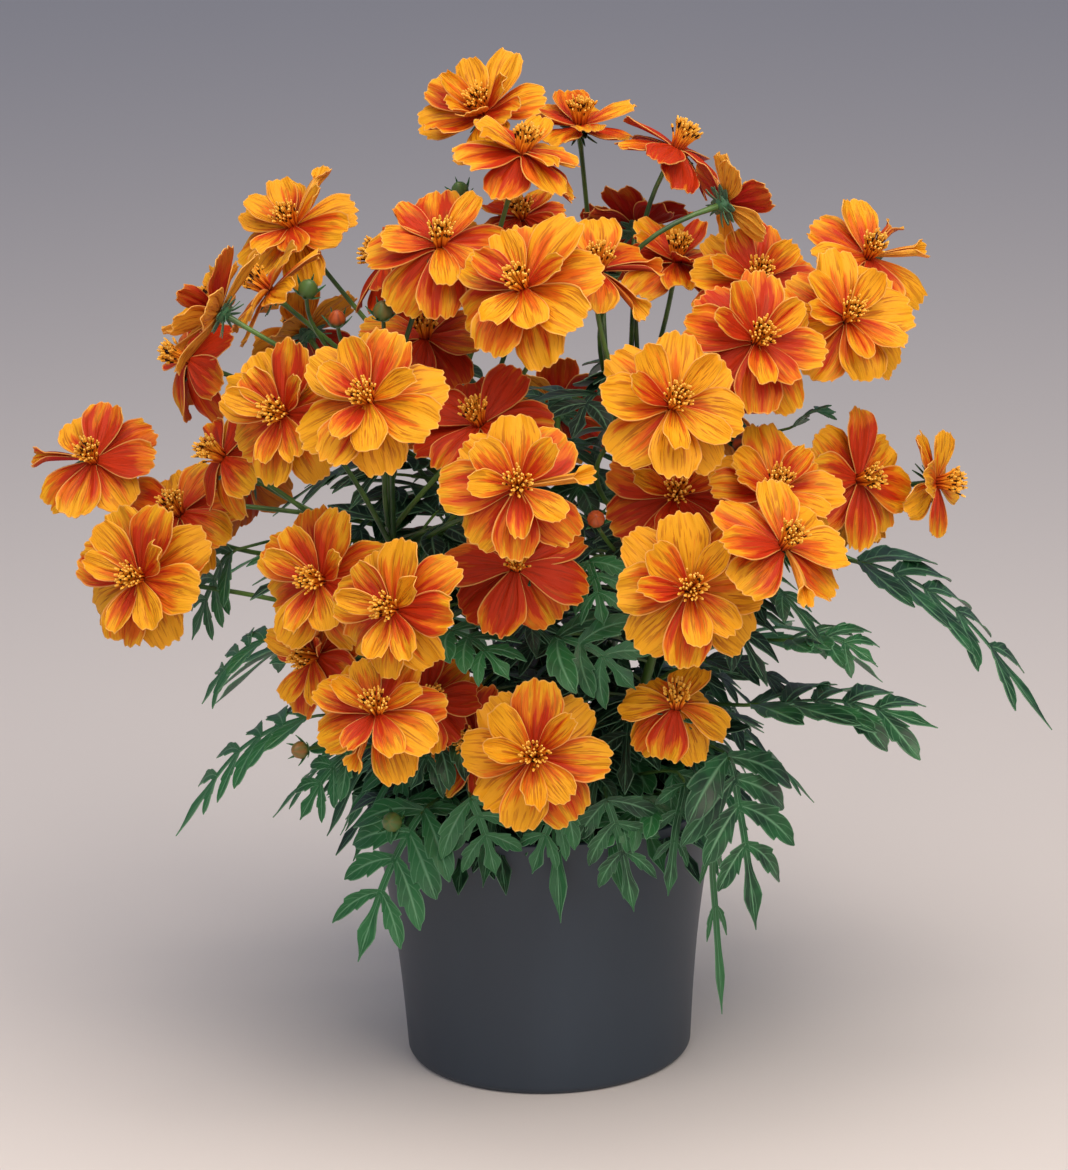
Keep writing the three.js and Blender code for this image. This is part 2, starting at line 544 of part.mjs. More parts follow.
// A lobed leaf along its rib: a narrow strip with a pair of pointed, forward-swept lobes
// between each two stations of the blade, alike above and below, swollen all round by grow
function bladeSolid(leaf, grow) {
  const stations = leaf.pairs + 1;
  const half = LEAF_THICKNESS / 2 + grow;
  const heading = new THREE.Vector3().subVectors(leaf.tip, leaf.root).setZ(0).normalize();
  const side = new THREE.Vector3().crossVectors(heading, UP).normalize();
  const bladeShare = (1 - LEAF_STALK_SHARE) * (1 - LEAF_END_SHARE) / leaf.pairs;
  const share = (station) => (station === 0 ? 0 : LEAF_STALK_SHARE + bladeShare * (station - 1));
  const over = [];
  const under = [];
  const add = (point, normal) => {
    over.push(point.clone().addScaledVector(normal, half).toArray());
    under.push(point.clone().addScaledVector(normal, -half).toArray());
    return over.length - 1;
  };
  const at = (part) => {
    const point = leaf.route.getPoint(part);
    const tangent = leaf.route.getTangent(part);
    const level = side.clone().addScaledVector(tangent, -side.dot(tangent)).normalize();
    return { point, tangent, level, normal: new THREE.Vector3().crossVectors(level, tangent) };
  };
  const left = [];
  const right = [];
  for (let station = 0; station <= stations; station += 1) {
    const { point, level, normal } = at(share(station));
    const wide = (station === stations ? LEAF_END_RIB : LEAF_RIB) + grow;
    left.push(add(point.clone().addScaledVector(level, -wide), normal));
    right.push(add(point.clone().addScaledVector(level, wide), normal));
  }
  const faces = [];
  const rightEdge = [];
  const leftEdge = [];
  for (let station = 0; station < stations; station += 1) {
    const next = station + 1;
    faces.push([left[station], right[station], right[next]]);
    faces.push([left[station], right[next], left[next]]);
    rightEdge.push(right[station]);
    leftEdge.push(left[station]);
    if (station === 0) continue;
    const part = (station - 0.5) / leaf.pairs;
    const reach = leaf.width / 2 * (station === 1 ? 0.9 : 1.05 - 0.55 * part) + grow;
    const { point, tangent, level, normal } = at((share(station) + share(next)) / 2);
    const lobe = (sign) => add(point.clone()
      .addScaledVector(level, sign * reach)
      .addScaledVector(tangent, reach * LOBE_SWEEP)
      .addScaledVector(normal, -reach * LOBE_DROOP), normal);
    const rightLobe = lobe(1);
    const leftLobe = lobe(-1);
    faces.push([right[station], rightLobe, right[next]], [left[station], left[next], leftLobe]);
    rightEdge.push(rightLobe);
    leftEdge.push(leftLobe);
  }
  const end = at(1);
  const tip = add(end.point.addScaledVector(end.tangent, grow), end.normal);
  faces.push([left[stations], right[stations], tip]);
  const edge = [...rightEdge, right[stations], tip, left[stations], ...leftEdge.reverse()];
  const offset = over.length;
  const triangles = [];
  faces.forEach(([a, b, c]) => triangles.push([a, b, c], [offset + a, offset + c, offset + b]));
  edge.forEach((corner, step) => {
    const next = edge[(step + 1) % edge.length];
    triangles.push([corner, offset + corner, offset + next], [corner, offset + next, next]);
  });
  return solid(closedGeometry([...over, ...under], triangles));
}

function placedLeaf(leaf) {
  const point = ([a, b, c]) => (leaf.far ? new THREE.Vector3(a, b, c) : sight(a, b, c));
  const base = point(leaf.base);
  const tip = point(leaf.tip);
  const stem = stemOf(base);
  const highest = STEMS[stem].top[2] - LEAF_DROP;
  const height = THREE.MathUtils.clamp(base.z - LEAF_DROP, SOIL_TOP + STALK_LOWEST, highest);
  const root = onStem(stem, height);
  const middle = base.clone().lerp(tip, 0.5).addScaledVector(UP, leaf.arch);
  const route = new THREE.CatmullRomCurve3([root, base, middle, tip], false, 'centripetal');
  return { ...leaf, base, tip, stem, root, route };
}

// A bud is a pointed five-sided egg round its own centre
function budSolid(bud) {
  const half = bud.size / 2;
  const profile = [[0, -half * 1.1], [half, -half * 0.1], [0, half * 1.3]];
  return solid(stand(turned(profile, 5), bud));
}

const blooms = [...FRONT_BLOOMS, ...BACK_BLOOMS].map(placed);
const farLeaves = BACK_LEAVES.map((leaf) => ({ ...leaf, far: true }));
const leaves = [...FRONT_LEAVES, ...farLeaves].map(placedLeaf);
const buds = BUDS.map(placed);

// A stem with its stalks and buds, swollen all round by grow. A bud's seed follows the last
// bloom's, with room to spare
function stalksOf(stem, grow) {
  const parts = [rod(STEM_ROUTES[stem], STEM_RADIUS + grow, STEM_SIDES, STEM_STEPS)];
  const stalk = (route, radius) => parts.push(rod(route, radius + grow, STALK_SIDES, STALK_STEPS));
  blooms.forEach((bloom, index) => {
    if (stemOf(bloom.hub) !== stem) return;
    const reach = PETAL_THICKNESS + HUB_CONE + SEAT_GAP;
    stalk(stalkRoute(bloom, index, reach), STALK_RADIUS);
  });
  buds.forEach((bud, index) => {
    if (stemOf(bud.hub) !== stem) return;
    stalk(stalkRoute(bud, index + FIRST_BUD_SEED, 0), BUD_STALK_RADIUS);
    parts.push(budSolid(bud));
  });
  return joined(parts);
}

// A leafy stem's leaves give way to the blooms, to the other stems' stalks and to the leaves
// made before them, and a scrap that this leaves loose is dropped
const bloomRooms = blooms.map(bloomRoom);
const leafySolids = [];
const leafRooms = [];
for (let stem = 0; stem < STEMS.length; stem += 1) {
  const own = leaves.filter((leaf) => leaf.stem === stem);
  const others = STEMS.map((_, other) => other).filter((other) => other !== stem);
  const rooms = [...bloomRooms, ...leafRooms, ...others.map((other) => stalksOf(other, LEAF_CLEARANCE))];
  const blades = joined(own.map((leaf) => bladeSolid(leaf, 0)));
  const foliage = rooms.reduce((rest, room) => rest.subtract(room), blades);
  leafRooms.push(joined(own.map((leaf) => bladeSolid(leaf, LEAF_CLEARANCE))));
  const pieces = stalksOf(stem, 0).add(foliage).decompose();
  pieces.sort((a, b) => b.volume() - a.volume());
  leafySolids.push(pieces[0]);
}

const stemHoles = joined(STEMS.map((stem) => rod(stemRoute(stem, STEM_FOOT - SEAT_GAP),
  STEM_RADIUS + SEAT_GAP, STEM_SIDES, STEM_STEPS)));

const group = new THREE.Group();
group.add(named('pot', potGeometry(), POT_COLOUR, 0.45));
group.add(named('soil', geometryOf(soilSolid().subtract(stemHoles)), SOIL_COLOUR, 0.95));
leafySolids.forEach((leafy, index) => {
  group.add(named(`leafy_stem_${index + 1}`, geometryOf(leafy), GREEN, 0.6));
});
blooms.forEach((bloom, index) => {
  const layers = bloom.single ? LAYERS.slice(0, 2) : LAYERS;
  const geometry = stand(bloomGeometry(bloom, index, layers), bloom);
  group.add(named(`bloom_${String(index + 1).padStart(2, '0')}`, geometry, ORANGE, 0.55));
});

export default group;
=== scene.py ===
"""The looks of a potted orange cosmos: pot, compost, leafy shoots with their buds, and the flowers.

Tables give places in millimetres, as the solid model's source does, and every mesh is in metres.
+Z is up and -Y is the plant's front. A pixel is one of the 1068 by 1170 picture.
"""
import math
from functools import lru_cache
from typing import NamedTuple, Optional

import bpy
import numpy as np
from bpy.props import FloatProperty, FloatVectorProperty, IntProperty, PointerProperty
from mathutils import Matrix, Vector


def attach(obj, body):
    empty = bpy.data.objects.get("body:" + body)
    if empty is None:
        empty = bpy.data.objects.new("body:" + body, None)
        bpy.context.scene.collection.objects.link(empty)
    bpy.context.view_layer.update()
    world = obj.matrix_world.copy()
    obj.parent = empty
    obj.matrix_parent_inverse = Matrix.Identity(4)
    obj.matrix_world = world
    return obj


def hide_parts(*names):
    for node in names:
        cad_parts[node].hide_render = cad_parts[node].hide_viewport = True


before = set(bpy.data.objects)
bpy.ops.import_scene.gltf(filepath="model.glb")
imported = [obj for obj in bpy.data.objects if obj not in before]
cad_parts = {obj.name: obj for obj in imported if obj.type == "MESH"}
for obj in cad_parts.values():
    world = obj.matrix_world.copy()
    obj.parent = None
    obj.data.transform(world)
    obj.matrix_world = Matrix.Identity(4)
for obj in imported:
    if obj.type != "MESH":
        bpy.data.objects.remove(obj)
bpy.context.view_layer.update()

bl_info = {
    "name": "Potted Orange Cosmos",
    "version": (1, 0, 0),
    "blender": (4, 5, 0),
    "location": "View3D > Sidebar > Cosmos",
    "description": "Dresses the solid model of a potted orange cosmos",
    "category": "Object",
}

MM = 0.001

# Shader nodes that several materials use
MATH, MIX, STEP = "ShaderNodeMath", "ShaderNodeMix", "ShaderNodeMapRange"
NOISE, BUMP, TRAIT = "ShaderNodeTexNoise", "ShaderNodeBump", "ShaderNodeAttribute"
PLACE, SKIN, GLOW = "ShaderNodeTexCoord", "ShaderNodeBsdfPrincipled", "ShaderNodeBsdfTranslucent"

# The picture and the camera that took it
PICTURE_SIZE = (1068, 1170)
FOCAL_LENGTH = 4975
CAMERA_DISTANCE = 2000
CAMERA_PITCH = math.radians(16.5)
CAMERA_ROLL = math.radians(1.4)
CAMERA_TARGET = (-1.87, 0, 197.1)
SENSOR_WIDTH = 36

# Pot and soil
POT_HEIGHT = 112
POT_RIM_RADIUS = 73.2
POT_BASE_RADIUS = 58
POT_WALL = 2.4
POT_FLOOR = 4
POT_STRAIGHT_SHARE = 0.42
POT_CURL_POWER = 2.6
POT_FOOT_ROUND = 3.4
SOIL_TOP = 99
SOIL_CROWN = 3
SOIL_GAP = 0.6
CRUMBS = 620

# Stems and stalks
STEM_RADIUS = 2.2
STEM_FOOT = 72
STEM_KNEE = 8
STEM_TIP_FREE = 3
STALK_RADIUS = 1.05
STALK_LOWEST = 12
STALK_LEAVE = 0.6
STALK_LEAVE_VARIES = 0.05
STALK_RISE = 0.24
STALK_SPREAD = 0.14
STALK_NECK = 0.32
NEAR_STEMS_REACH = 58
FIRST_BUD_SEED = 70

# Flowers: the ring that petals grow from, their layers, and the shape and grid of a petal
HUB_SECTORS = 8
HUB_RADIUS = 4.4
LAYER_STEP = 0.95
HUB_CONE = 3.2
PETAL_DROOP = 8
CLAW_WIDTH = 0.22
SHOULDER = 0.68
TIP_WIDTH = 0.78
PETAL_THICKNESS = 0.35
PETAL_ROWS = 11
PETAL_COLUMNS = 16
INNER_ROWS = 8
INNER_COLUMNS = 8
CUP_THICKNESS = 0.35
FLORETS = 46

# A floret's rings: their places up it, their radii, and where they lie on its colour ramp. They
# shape a tube, a narrow dark anther and a knob of pollen
FLORET_RINGS = (0.0, 0.4, 0.64, 0.7, 0.84, 0.88, 1.0)
FLORET_RADII = (0.34, 0.42, 0.42, 0.32, 0.36, 0.62, 0.36)
FLORET_RAMP = (0.0, 0.4, 0.62, 0.7, 0.84, 0.92, 1.0)

# Half the width and the length of a typical petal
TYPICAL_PETAL = (9.5, 26.0)

# Half the side of the square floor, in metres
FLOOR_HALF = 9.0

# Leaves
LEAF_THICKNESS = 0.4
LEAF_STALK_SHARE = 0.36
LEAF_END_SHARE = 0.18
LOBE_SWEEP = 0.62
LOBE_DROOP = 0.12
LEAF_DROP = 20


class Bloom(NamedTuple):
    """A flower: its hub's pixel and how far it stands in front of the pot's axis, its width,
    yaw to the right of the front and rise above level, the turn of its petals, how much
    painted shade makes its petals a deeper red, whether it has small inner petals, how far its
    petals hang in degrees, the sectors whose petals are rolled into tubes, and where its stalk
    leaves its stem and how it bows."""
    px: float
    py: float
    toward: float
    across: float
    yaw: float
    rise: float
    turn: float
    # Painted shade: how much deeper red the petals are painted for the shade the flower stands in
    painted_shade: float = 0.35
    semi: bool = False
    droop: float = PETAL_DROOP
    tubes: tuple = ()
    leave: Optional[float] = None
    bend: float = 0


FRONT_BLOOMS = (
    Bloom(484, 113, -8, 54, -35, 52, 10, 0.15, semi=True, droop=-14),
    Bloom(521, 156, 40, 56, 55, 70, 0, 0.3, semi=True, droop=20),
    Bloom(580, 126, -34, 46, 15, 78, 20, 0.4, droop=-8, leave=0.54, bend=10),
    Bloom(676, 150, -8, 50, 88, 62, 0, 0.8, droop=22, leave=0.6, bend=8),
    Bloom(726, 203, 38, 42, 120, 12, 10, 0.3, droop=-12, bend=26),
    Bloom(294, 228, -28, 56, -35, 50, 15, 0.1, semi=True, tubes=(1,)),
    Bloom(270, 292, 14, 50, -95, 42, 0, 0.2),
    Bloom(220, 312, 56, 54, -108, 28, 0, 0.1, semi=True, droop=-8),
    Bloom(190, 360, 18, 52, -66, 28, 20, 0.75, droop=24),
    Bloom(440, 248, 66, 60, 5, 58, 22, 0.35, semi=True, droop=26, leave=0.6, bend=26),
    Bloom(525, 289, 96, 62, -28, 42, 5, 0.25, semi=True, bend=-12),
    Bloom(598, 271, 70, 54, 12, 60, 12, 0.3, tubes=(6, 7)),
    Bloom(676, 263, 14, 54, 30, 74, 0, 0.55, semi=True),
    Bloom(757, 282, 37, 54, 10, 45, 8, 0.5, semi=True),
    Bloom(868, 258, 4, 54, 28, 50, 18, 0.15, tubes=(7, 0)),
    Bloom(846, 320, 52, 58, 20, 38, 22, 0.1, semi=True),
    Bloom(756, 342, 78, 58, 20, 36, 4, 0.5, semi=True),
    Bloom(94, 461, 26, 52, -20, 42, 22, 0.35, tubes=(3,)),
    Bloom(142, 578, 72, 60, -30, 20, 12, 0.25, semi=True),
    Bloom(224, 458, 62, 50, -58, 34, 0, 0.5, droop=24),
    Bloom(180, 514, 42, 52, -30, 48, 10, 0.45, droop=20),
    Bloom(285, 414, 92, 56, -30, 22, 18, 0.25, semi=True),
    Bloom(370, 402, 116, 60, -20, 38, 0, 0.1, semi=True),
    Bloom(426, 338, 36, 54, -10, 60, 10, 0.55),
    Bloom(518, 487, 134, 58, 0, 28, 22, 0.25, semi=True, tubes=(7,), leave=0.66),
    Bloom(672, 407, 112, 60, 18, 38, 10, 0, semi=True, leave=0.6, bend=34),
    Bloom(676, 496, 79, 56, 5, 30, 0, 0.45, semi=True),
    Bloom(774, 494, 96, 56, 22, 50, 15, 0.4, semi=True, leave=0.6),
    Bloom(858, 480, 56, 54, 42, 20, 5, 0.3),
    Bloom(935, 483, 36, 45, 66, 8, 0, 0.25),
    Bloom(690, 590, 136, 60, 5, 24, 22, 0.2, semi=True),
    Bloom(783, 547, 139, 56, 36, 46, 8, 0.35, tubes=(5,)),
    Bloom(516, 568, 108, 58, 0, 40, 12, 0.7, droop=22),
    Bloom(322, 580, 112, 56, -30, 20, 4, 0.35, semi=True),
    Bloom(395, 609, 142, 54, -30, 20, 18, 0.2, semi=True),
    Bloom(318, 656, 96, 52, -50, 12, 12, 0.5, semi=True),
    Bloom(378, 714, 144, 54, -10, 48, 0, 0.35, semi=True, droop=18, tubes=(5,), bend=18),
    Bloom(534, 757, 124, 58, 0, 24, 16, 0.25, semi=True, bend=-6),
    Bloom(676, 708, 112, 48, 8, 58, 0, 0.2, droop=38),
    Bloom(478, 740, 82, 50, -35, 18, 4, 0.8, droop=0),
    Bloom(480, 425, 82, 56, -20, 55, 0, 0.9),
    Bloom(424, 700, 96, 45, 25, 22, 10, 0.8, droop=0),
    Bloom(522, 218, 4, 34, -15, 60, 0, 0.7),
    Bloom(636, 228, -26, 46, 170, 45, 10, 0.85, droop=0),
    Bloom(388, 262, 8, 48, -80, 35, 5, 0.8),
)

# The far side's flowers: x, z, toward, across, yaw, rise and turn
FAR_BLOOMS = (
    (-92, 292, -48, 52, -140, 38, 0),
    (-36, 312, -72, 56, -170, 50, 12),
    (32, 318, -76, 54, 165, 48, 20),
    (96, 296, -62, 56, 140, 35, 6),
    (-118, 226, -72, 54, -130, 22, 16),
    (-58, 246, -112, 58, -158, 26, 4),
    (10, 236, -126, 56, 178, 22, 22),
    (74, 240, -110, 54, 155, 26, 10),
    (128, 216, -66, 52, 128, 18, 0),
)

# The four stems: foot in the soil (x, toward) and top of the woody part (x, toward, z)
STEMS = (
    ((-26, 18), (-58, 44, 236)),
    ((26, 18), (58, 44, 238)),
    ((-22, -24), (-34, -28, 282)),
    ((24, -22), (38, -26, 286)),
)

# Leaves that show from the front: pixel and toward of the blade's base and tip, the blade's
# width, its pairs of lobes, and how high its rib arches
FRONT_LEAVES = (
    ((848, 560, 12), (1052, 730, 26), 66, 5, 16),
    ((745, 705, 58), (938, 728, 66), 74, 5, 6),
    ((724, 752, 76), (756, 930, 90), 60, 4, 12),
    ((704, 800, 66), (722, 1014, 64), 18, 3, 10),
    ((684, 780, 84), (668, 896, 90), 24, 3, 4),
    ((606, 796, 88), (634, 912, 92), 38, 3, 6),
    ((566, 800, 92), (532, 874, 94), 34, 3, 4),
    ((470, 796, 92), (496, 876, 94), 40, 3, 4),
    ((428, 806, 76), (358, 962, 90), 56, 4, 8),
    ((316, 716, 70), (176, 836, 52), 42, 5, 12),
    ((270, 640, 62), (202, 704, 48), 38, 4, 6),
    ((352, 752, 84), (300, 820, 84), 34, 3, 4),
    ((448, 630, 92), (510, 680, 114), 44, 3, 4),
    ((556, 636, 92), (636, 690, 108), 46, 3, 5),
    ((786, 640, 58), (876, 664, 72), 48, 4, 6),
    ((590, 560, 90), (604, 626, 104), 30, 3, 3),
    ((236, 550, 44), (192, 640, 34), 38, 4, 5),
    ((790, 428, 30), (836, 412, 20), 22, 3, 3),
    ((450, 730, 78), (410, 790, 92), 40, 3, 4),
    ((408, 800, 66), (440, 860, 84), 34, 3, 4),
    ((650, 806, 78), (600, 850, 92), 34, 3, 4),
)

# Leaves of the far side and the flanks: the same, by x, y and z
FAR_LEAVES = (
    ((-70, 70, 150), (-140, 120, 112), 58, 3, 14),
    ((-20, 92, 150), (-46, 170, 104), 58, 3, 14),
    ((34, 92, 148), (58, 168, 100), 58, 3, 14),
    ((78, 64, 152), (146, 108, 118), 58, 3, 14),
    ((-76, 44, 200), (-138, 84, 176), 48, 3, 8),
    ((80, 36, 200), (146, 62, 178), 48, 3, 8),
    ((4, 80, 190), (8, 140, 166), 48, 3, 8),
    ((-6, 66, 124), (-10, 104, 66), 46, 3, 8),
    ((-64, 10, 128), (-112, 26, 92), 44, 3, 8),
    ((66, 14, 128), (112, 34, 90), 44, 3, 8),
    ((-50, 54, 126), (-82, 84, 74), 44, 3, 8),
    ((52, 52, 126), (86, 80, 78), 44, 3, 8),
)

# Buds: pixel, toward, yaw, rise, size, the bow of the stalk, and how ripe from green to brown
BUDS = (
    (460, 190, 12, -20, 50, 7, 0, 0.1),
    (308, 289, 30, 20, 50, 8, 0, 0.1),
    (337, 319, 40, 0, 65, 7, 0, 0.75),
    (383, 311, 66, 0, 60, 8, 0, 0.2),
    (745, 444, 68, 10, 30, 10, -12, 0.95),
    (596, 519, 104, 0, 30, 7, 0, 0.7),
    (300, 750, 100, -40, 10, 7, 0, 0.3),
    (392, 822, 92, -10, 20, 8, 0, 0.15),
)

UP = np.array([0.0, 0.0, 1.0])


def linear(code):
    """An sRGB hex colour as the linear one that the shaders take."""
    parts = [int(code[place:place + 2], 16) / 255 for place in (1, 3, 5)]
    return tuple(p / 12.92 if p <= 0.04045 else ((p + 0.055) / 1.055) ** 2.4 for p in parts)


class CosmosPot(bpy.types.PropertyGroup):
    rim_radius: FloatProperty(
        name="Rim radius", description="Outer radius of the pot at its rim",
        default=POT_RIM_RADIUS * MM, unit="LENGTH")
    colour: FloatVectorProperty(
        name="Plastic", description="Colour of the moulded plastic",
        default=linear("#28333F"), size=3, subtype="COLOR")


class CosmosFlowers(bpy.types.PropertyGroup):
    tip_colour: FloatVectorProperty(
        name="Yellow", description="Colour of the petals where they are yellowest",
        default=linear("#FABA1E"), size=3, subtype="COLOR")
    middle_colour: FloatVectorProperty(
        name="Orange", description="Colour of the petals between yellow and red",
        default=linear("#EA7610"), size=3, subtype="COLOR")
    # Partly the petals' own colour and partly painted shade near the disc and under other petals
    base_colour: FloatVectorProperty(
        name="Red-orange", description="Colour of the flames at the petals' bases",
        default=linear("#D0380C"), size=3, subtype="COLOR")
    # Painted shade: the crimson goes on the under sides of petals whose flowers are painted as shaded
    painted_shade_under_colour: FloatVectorProperty(
        name="Crimson", description="Colour of the undersides that have reddened",
        default=linear("#A81A22"), size=3, subtype="COLOR")
    pleat_depth: FloatProperty(
        name="Pleat depth", description="Depth of the lengthwise pleats",
        default=0.42 * MM, unit="LENGTH")
    disc_height: FloatProperty(
        name="Disc height", description="Height of the brush of florets above the petals",
        default=13.5 * MM, unit="LENGTH")


class CosmosFoliage(bpy.types.PropertyGroup):
    leaf_colour: FloatVectorProperty(
        name="Leaves", description="Colour of the leaves' upper side",
        default=linear("#2C6E3C"), size=3, subtype="COLOR")
    rib_colour: FloatVectorProperty(
        name="Ribs", description="Colour of the leaves' ribs and edges",
        default=linear("#74AC80"), size=3, subtype="COLOR")
    stalk_colour: FloatVectorProperty(
        name="Stalks", description="Colour of the stems and stalks",
        default=linear("#5E8438"), size=3, subtype="COLOR")
    inner_leaves: IntProperty(
        name="Inner leaves", description="Small leaves that fill the inside of the plant",
        default=200, min=0, max=300)
    skirt_leaves: IntProperty(
        name="Skirt leaves", description="Short leaves that hang over the pot's rim",
        default=20, min=0, max=60)


class CosmosStage(bpy.types.PropertyGroup):
    key_power: FloatProperty(
        name="Key light", description="Power of the soft light from the upper right",
        default=22, unit="POWER")
    overhead_power: FloatProperty(
        name="Overhead light", description="Power of the wide soft light overhead",
        default=30, unit="POWER")
    front_power: FloatProperty(
        name="Front light", description="Power of the soft light beside the camera",
        default=9, unit="POWER")
    floor_colour: FloatVectorProperty(
        name="Floor", description="Colour of the pale floor",
        default=linear("#D8D4D2"), size=3, subtype="COLOR")


def unit(vectors):
    """Vectors at length one, along the last axis."""
    return vectors / np.maximum(np.linalg.norm(vectors, axis=-1, keepdims=True), 1e-12)


def wobble(first, second):
    """A repeatable number from -1 to 1 for a pair of counts."""
    wave = math.sin(first * 12.9898 + second * 78.233) * 43758.5453
    return (wave - math.floor(wave)) * 2 - 1


def smooth(values, low, high):
    """0 below low, 1 above high, and an S-shaped step between them."""
    share = np.clip((values - low) / (high - low), 0, 1)
    return share * share * (3 - 2 * share)


def camera_axes():
    """The camera's right, up and forward before it is rolled."""
    right = np.array([1.0, 0.0, 0.0])
    above = np.array([0.0, math.sin(CAMERA_PITCH), math.cos(CAMERA_PITCH)])
    ahead = np.array([0.0, math.cos(CAMERA_PITCH), -math.sin(CAMERA_PITCH)])
    return right, above, ahead


def sight(px, py, toward):
    """The point that the picture shows at a pixel, so far in front of the pot's axis."""
    across = (px - PICTURE_SIZE[0] / 2) / FOCAL_LENGTH
    down = (py - PICTURE_SIZE[1] / 2) / FOCAL_LENGTH
    right, above, ahead = camera_axes()
    eye = np.array(CAMERA_TARGET) - ahead * CAMERA_DISTANCE
    sideways = across * math.cos(CAMERA_ROLL) - down * math.sin(CAMERA_ROLL)
    upward = -across * math.sin(CAMERA_ROLL) - down * math.cos(CAMERA_ROLL)
    ray = ahead + right * sideways + above * upward
    return eye + ray * ((-toward - eye[1]) / ray[1])


def facing(yaw, rise):
    """The unit vector of a facing: yaw to the right of the front, rise above level."""
    turn, lift = math.radians(yaw), math.radians(rise)
    return np.array([math.sin(turn) * math.cos(lift), -math.cos(turn) * math.cos(lift), math.sin(lift)])


def basis(axis):
    """What lies to a flower's right, above it and along its axis, as rows."""
    across = unit(np.cross(UP, axis))
    return np.array([across, np.cross(axis, across), axis])


def spline(points, shares):
    """A centripetal Catmull-Rom curve through points: each stretch is a cubic whose end slopes
    come from its neighbours, weighted by the square root of the distances between them."""
    points = np.asarray(points, float)
    points = np.vstack([2 * points[0] - points[1], points, 2 * points[-1] - points[-2]])
    gaps = np.linalg.norm(np.diff(points, axis=0), axis=1) ** 0.5
    shares = np.asarray(shares, float) * (len(points) - 3)
    first = np.minimum(shares.astype(int), len(points) - 4)
    part = (shares - first)[:, None]
    a, b, c, d = (points[first + step] for step in range(4))
    before, here, after = (gaps[first + step][:, None] for step in range(3))
    start = ((b - a) / before - (c - a) / (before + here) + (c - b) / here) * here
    end = ((c - b) / here - (d - b) / (here + after) + (d - c) / after) * here
    cubic = 2 * b - 2 * c + start + end
    square = -3 * b + 3 * c - 2 * start - end
    return b + part * (start + part * (square + part * cubic))


def bezier(points, shares):
    """A Bezier curve: its control points blended by the powers of t and 1 - t. Points may carry
    leading axes, with the control points next to last."""
    t = np.asarray(shares, float)[:, None]
    count = points.shape[-2] - 1
    return sum(math.comb(count, step) * t ** step * (1 - t) ** (count - step) * points[..., step, None, :]
               for step in range(count + 1))


@lru_cache(maxsize=None)
def sheet_faces(rows, columns):
    """Faces of a closed shell on a grid: upper side, under side, and a rim that joins them."""
    grid = np.arange(rows * columns).reshape(rows, columns)
    upper = np.stack([grid[:-1, :-1], grid[1:, :-1], grid[1:, 1:], grid[:-1, 1:]], -1).reshape(-1, 4)
    under = upper[:, ::-1] + rows * columns
    edge = np.concatenate([grid[:-1, 0], grid[-1, :-1], grid[:0:-1, -1], grid[0, :0:-1]])
    after = np.roll(edge, -1)
    rim = np.stack([edge + rows * columns, after + rows * columns, after, edge], -1)
    return [np.concatenate([upper, under, rim])]


@lru_cache(maxsize=None)
def rod_faces(rings, sides):
    """Faces of a closed rod: a band between each two rings, and a flat end at each end."""
    grid = np.arange(rings * sides).reshape(rings, sides)
    turned = np.roll(grid, -1, axis=1)
    bands = np.stack([grid[:-1], turned[:-1], turned[1:], grid[1:]], -1).reshape(-1, 4)
    ends = np.stack([grid[0, ::-1], grid[-1]])
    return [bands, ends]


def shells(sheets, thickness):
    """Sheets of points as closed shells: each point moved half the thickness along the sheet's
    normal, up for the upper side and down for the under side."""
    normal = unit(np.cross(np.gradient(sheets, axis=-3), np.gradient(sheets, axis=-2)))
    both = np.stack([sheets + normal * thickness / 2, sheets - normal * thickness / 2], axis=-4)
    return both.reshape(len(sheets), -1, 3)


def rods(paths, radii, sides):
    """Paths as closed rods: a ring of points round each path point, square to the path. The
    ring's first arm lies across the path's own plane, which keeps the rod from twisting."""
    tangent = unit(np.gradient(paths, axis=-2))
    chord = paths[..., -1:, :] - paths[..., :1, :]
    level = np.cross(chord, UP)
    level = np.where(np.linalg.norm(level, axis=-1, keepdims=True) < 1e-6, [1.0, 0.0, 0.0], level)
    level = unit(level - (level * tangent).sum(-1, keepdims=True) * tangent)
    other = np.cross(tangent, level)
    angle = np.linspace(0, 2 * math.pi, sides, endpoint=False)[:, None]
    ring = level[..., None, :] * np.cos(angle) + other[..., None, :] * np.sin(angle)
    points = paths[..., None, :] + ring * np.asarray(radii)[..., None, None]
    return points.reshape(len(paths), -1, 3)


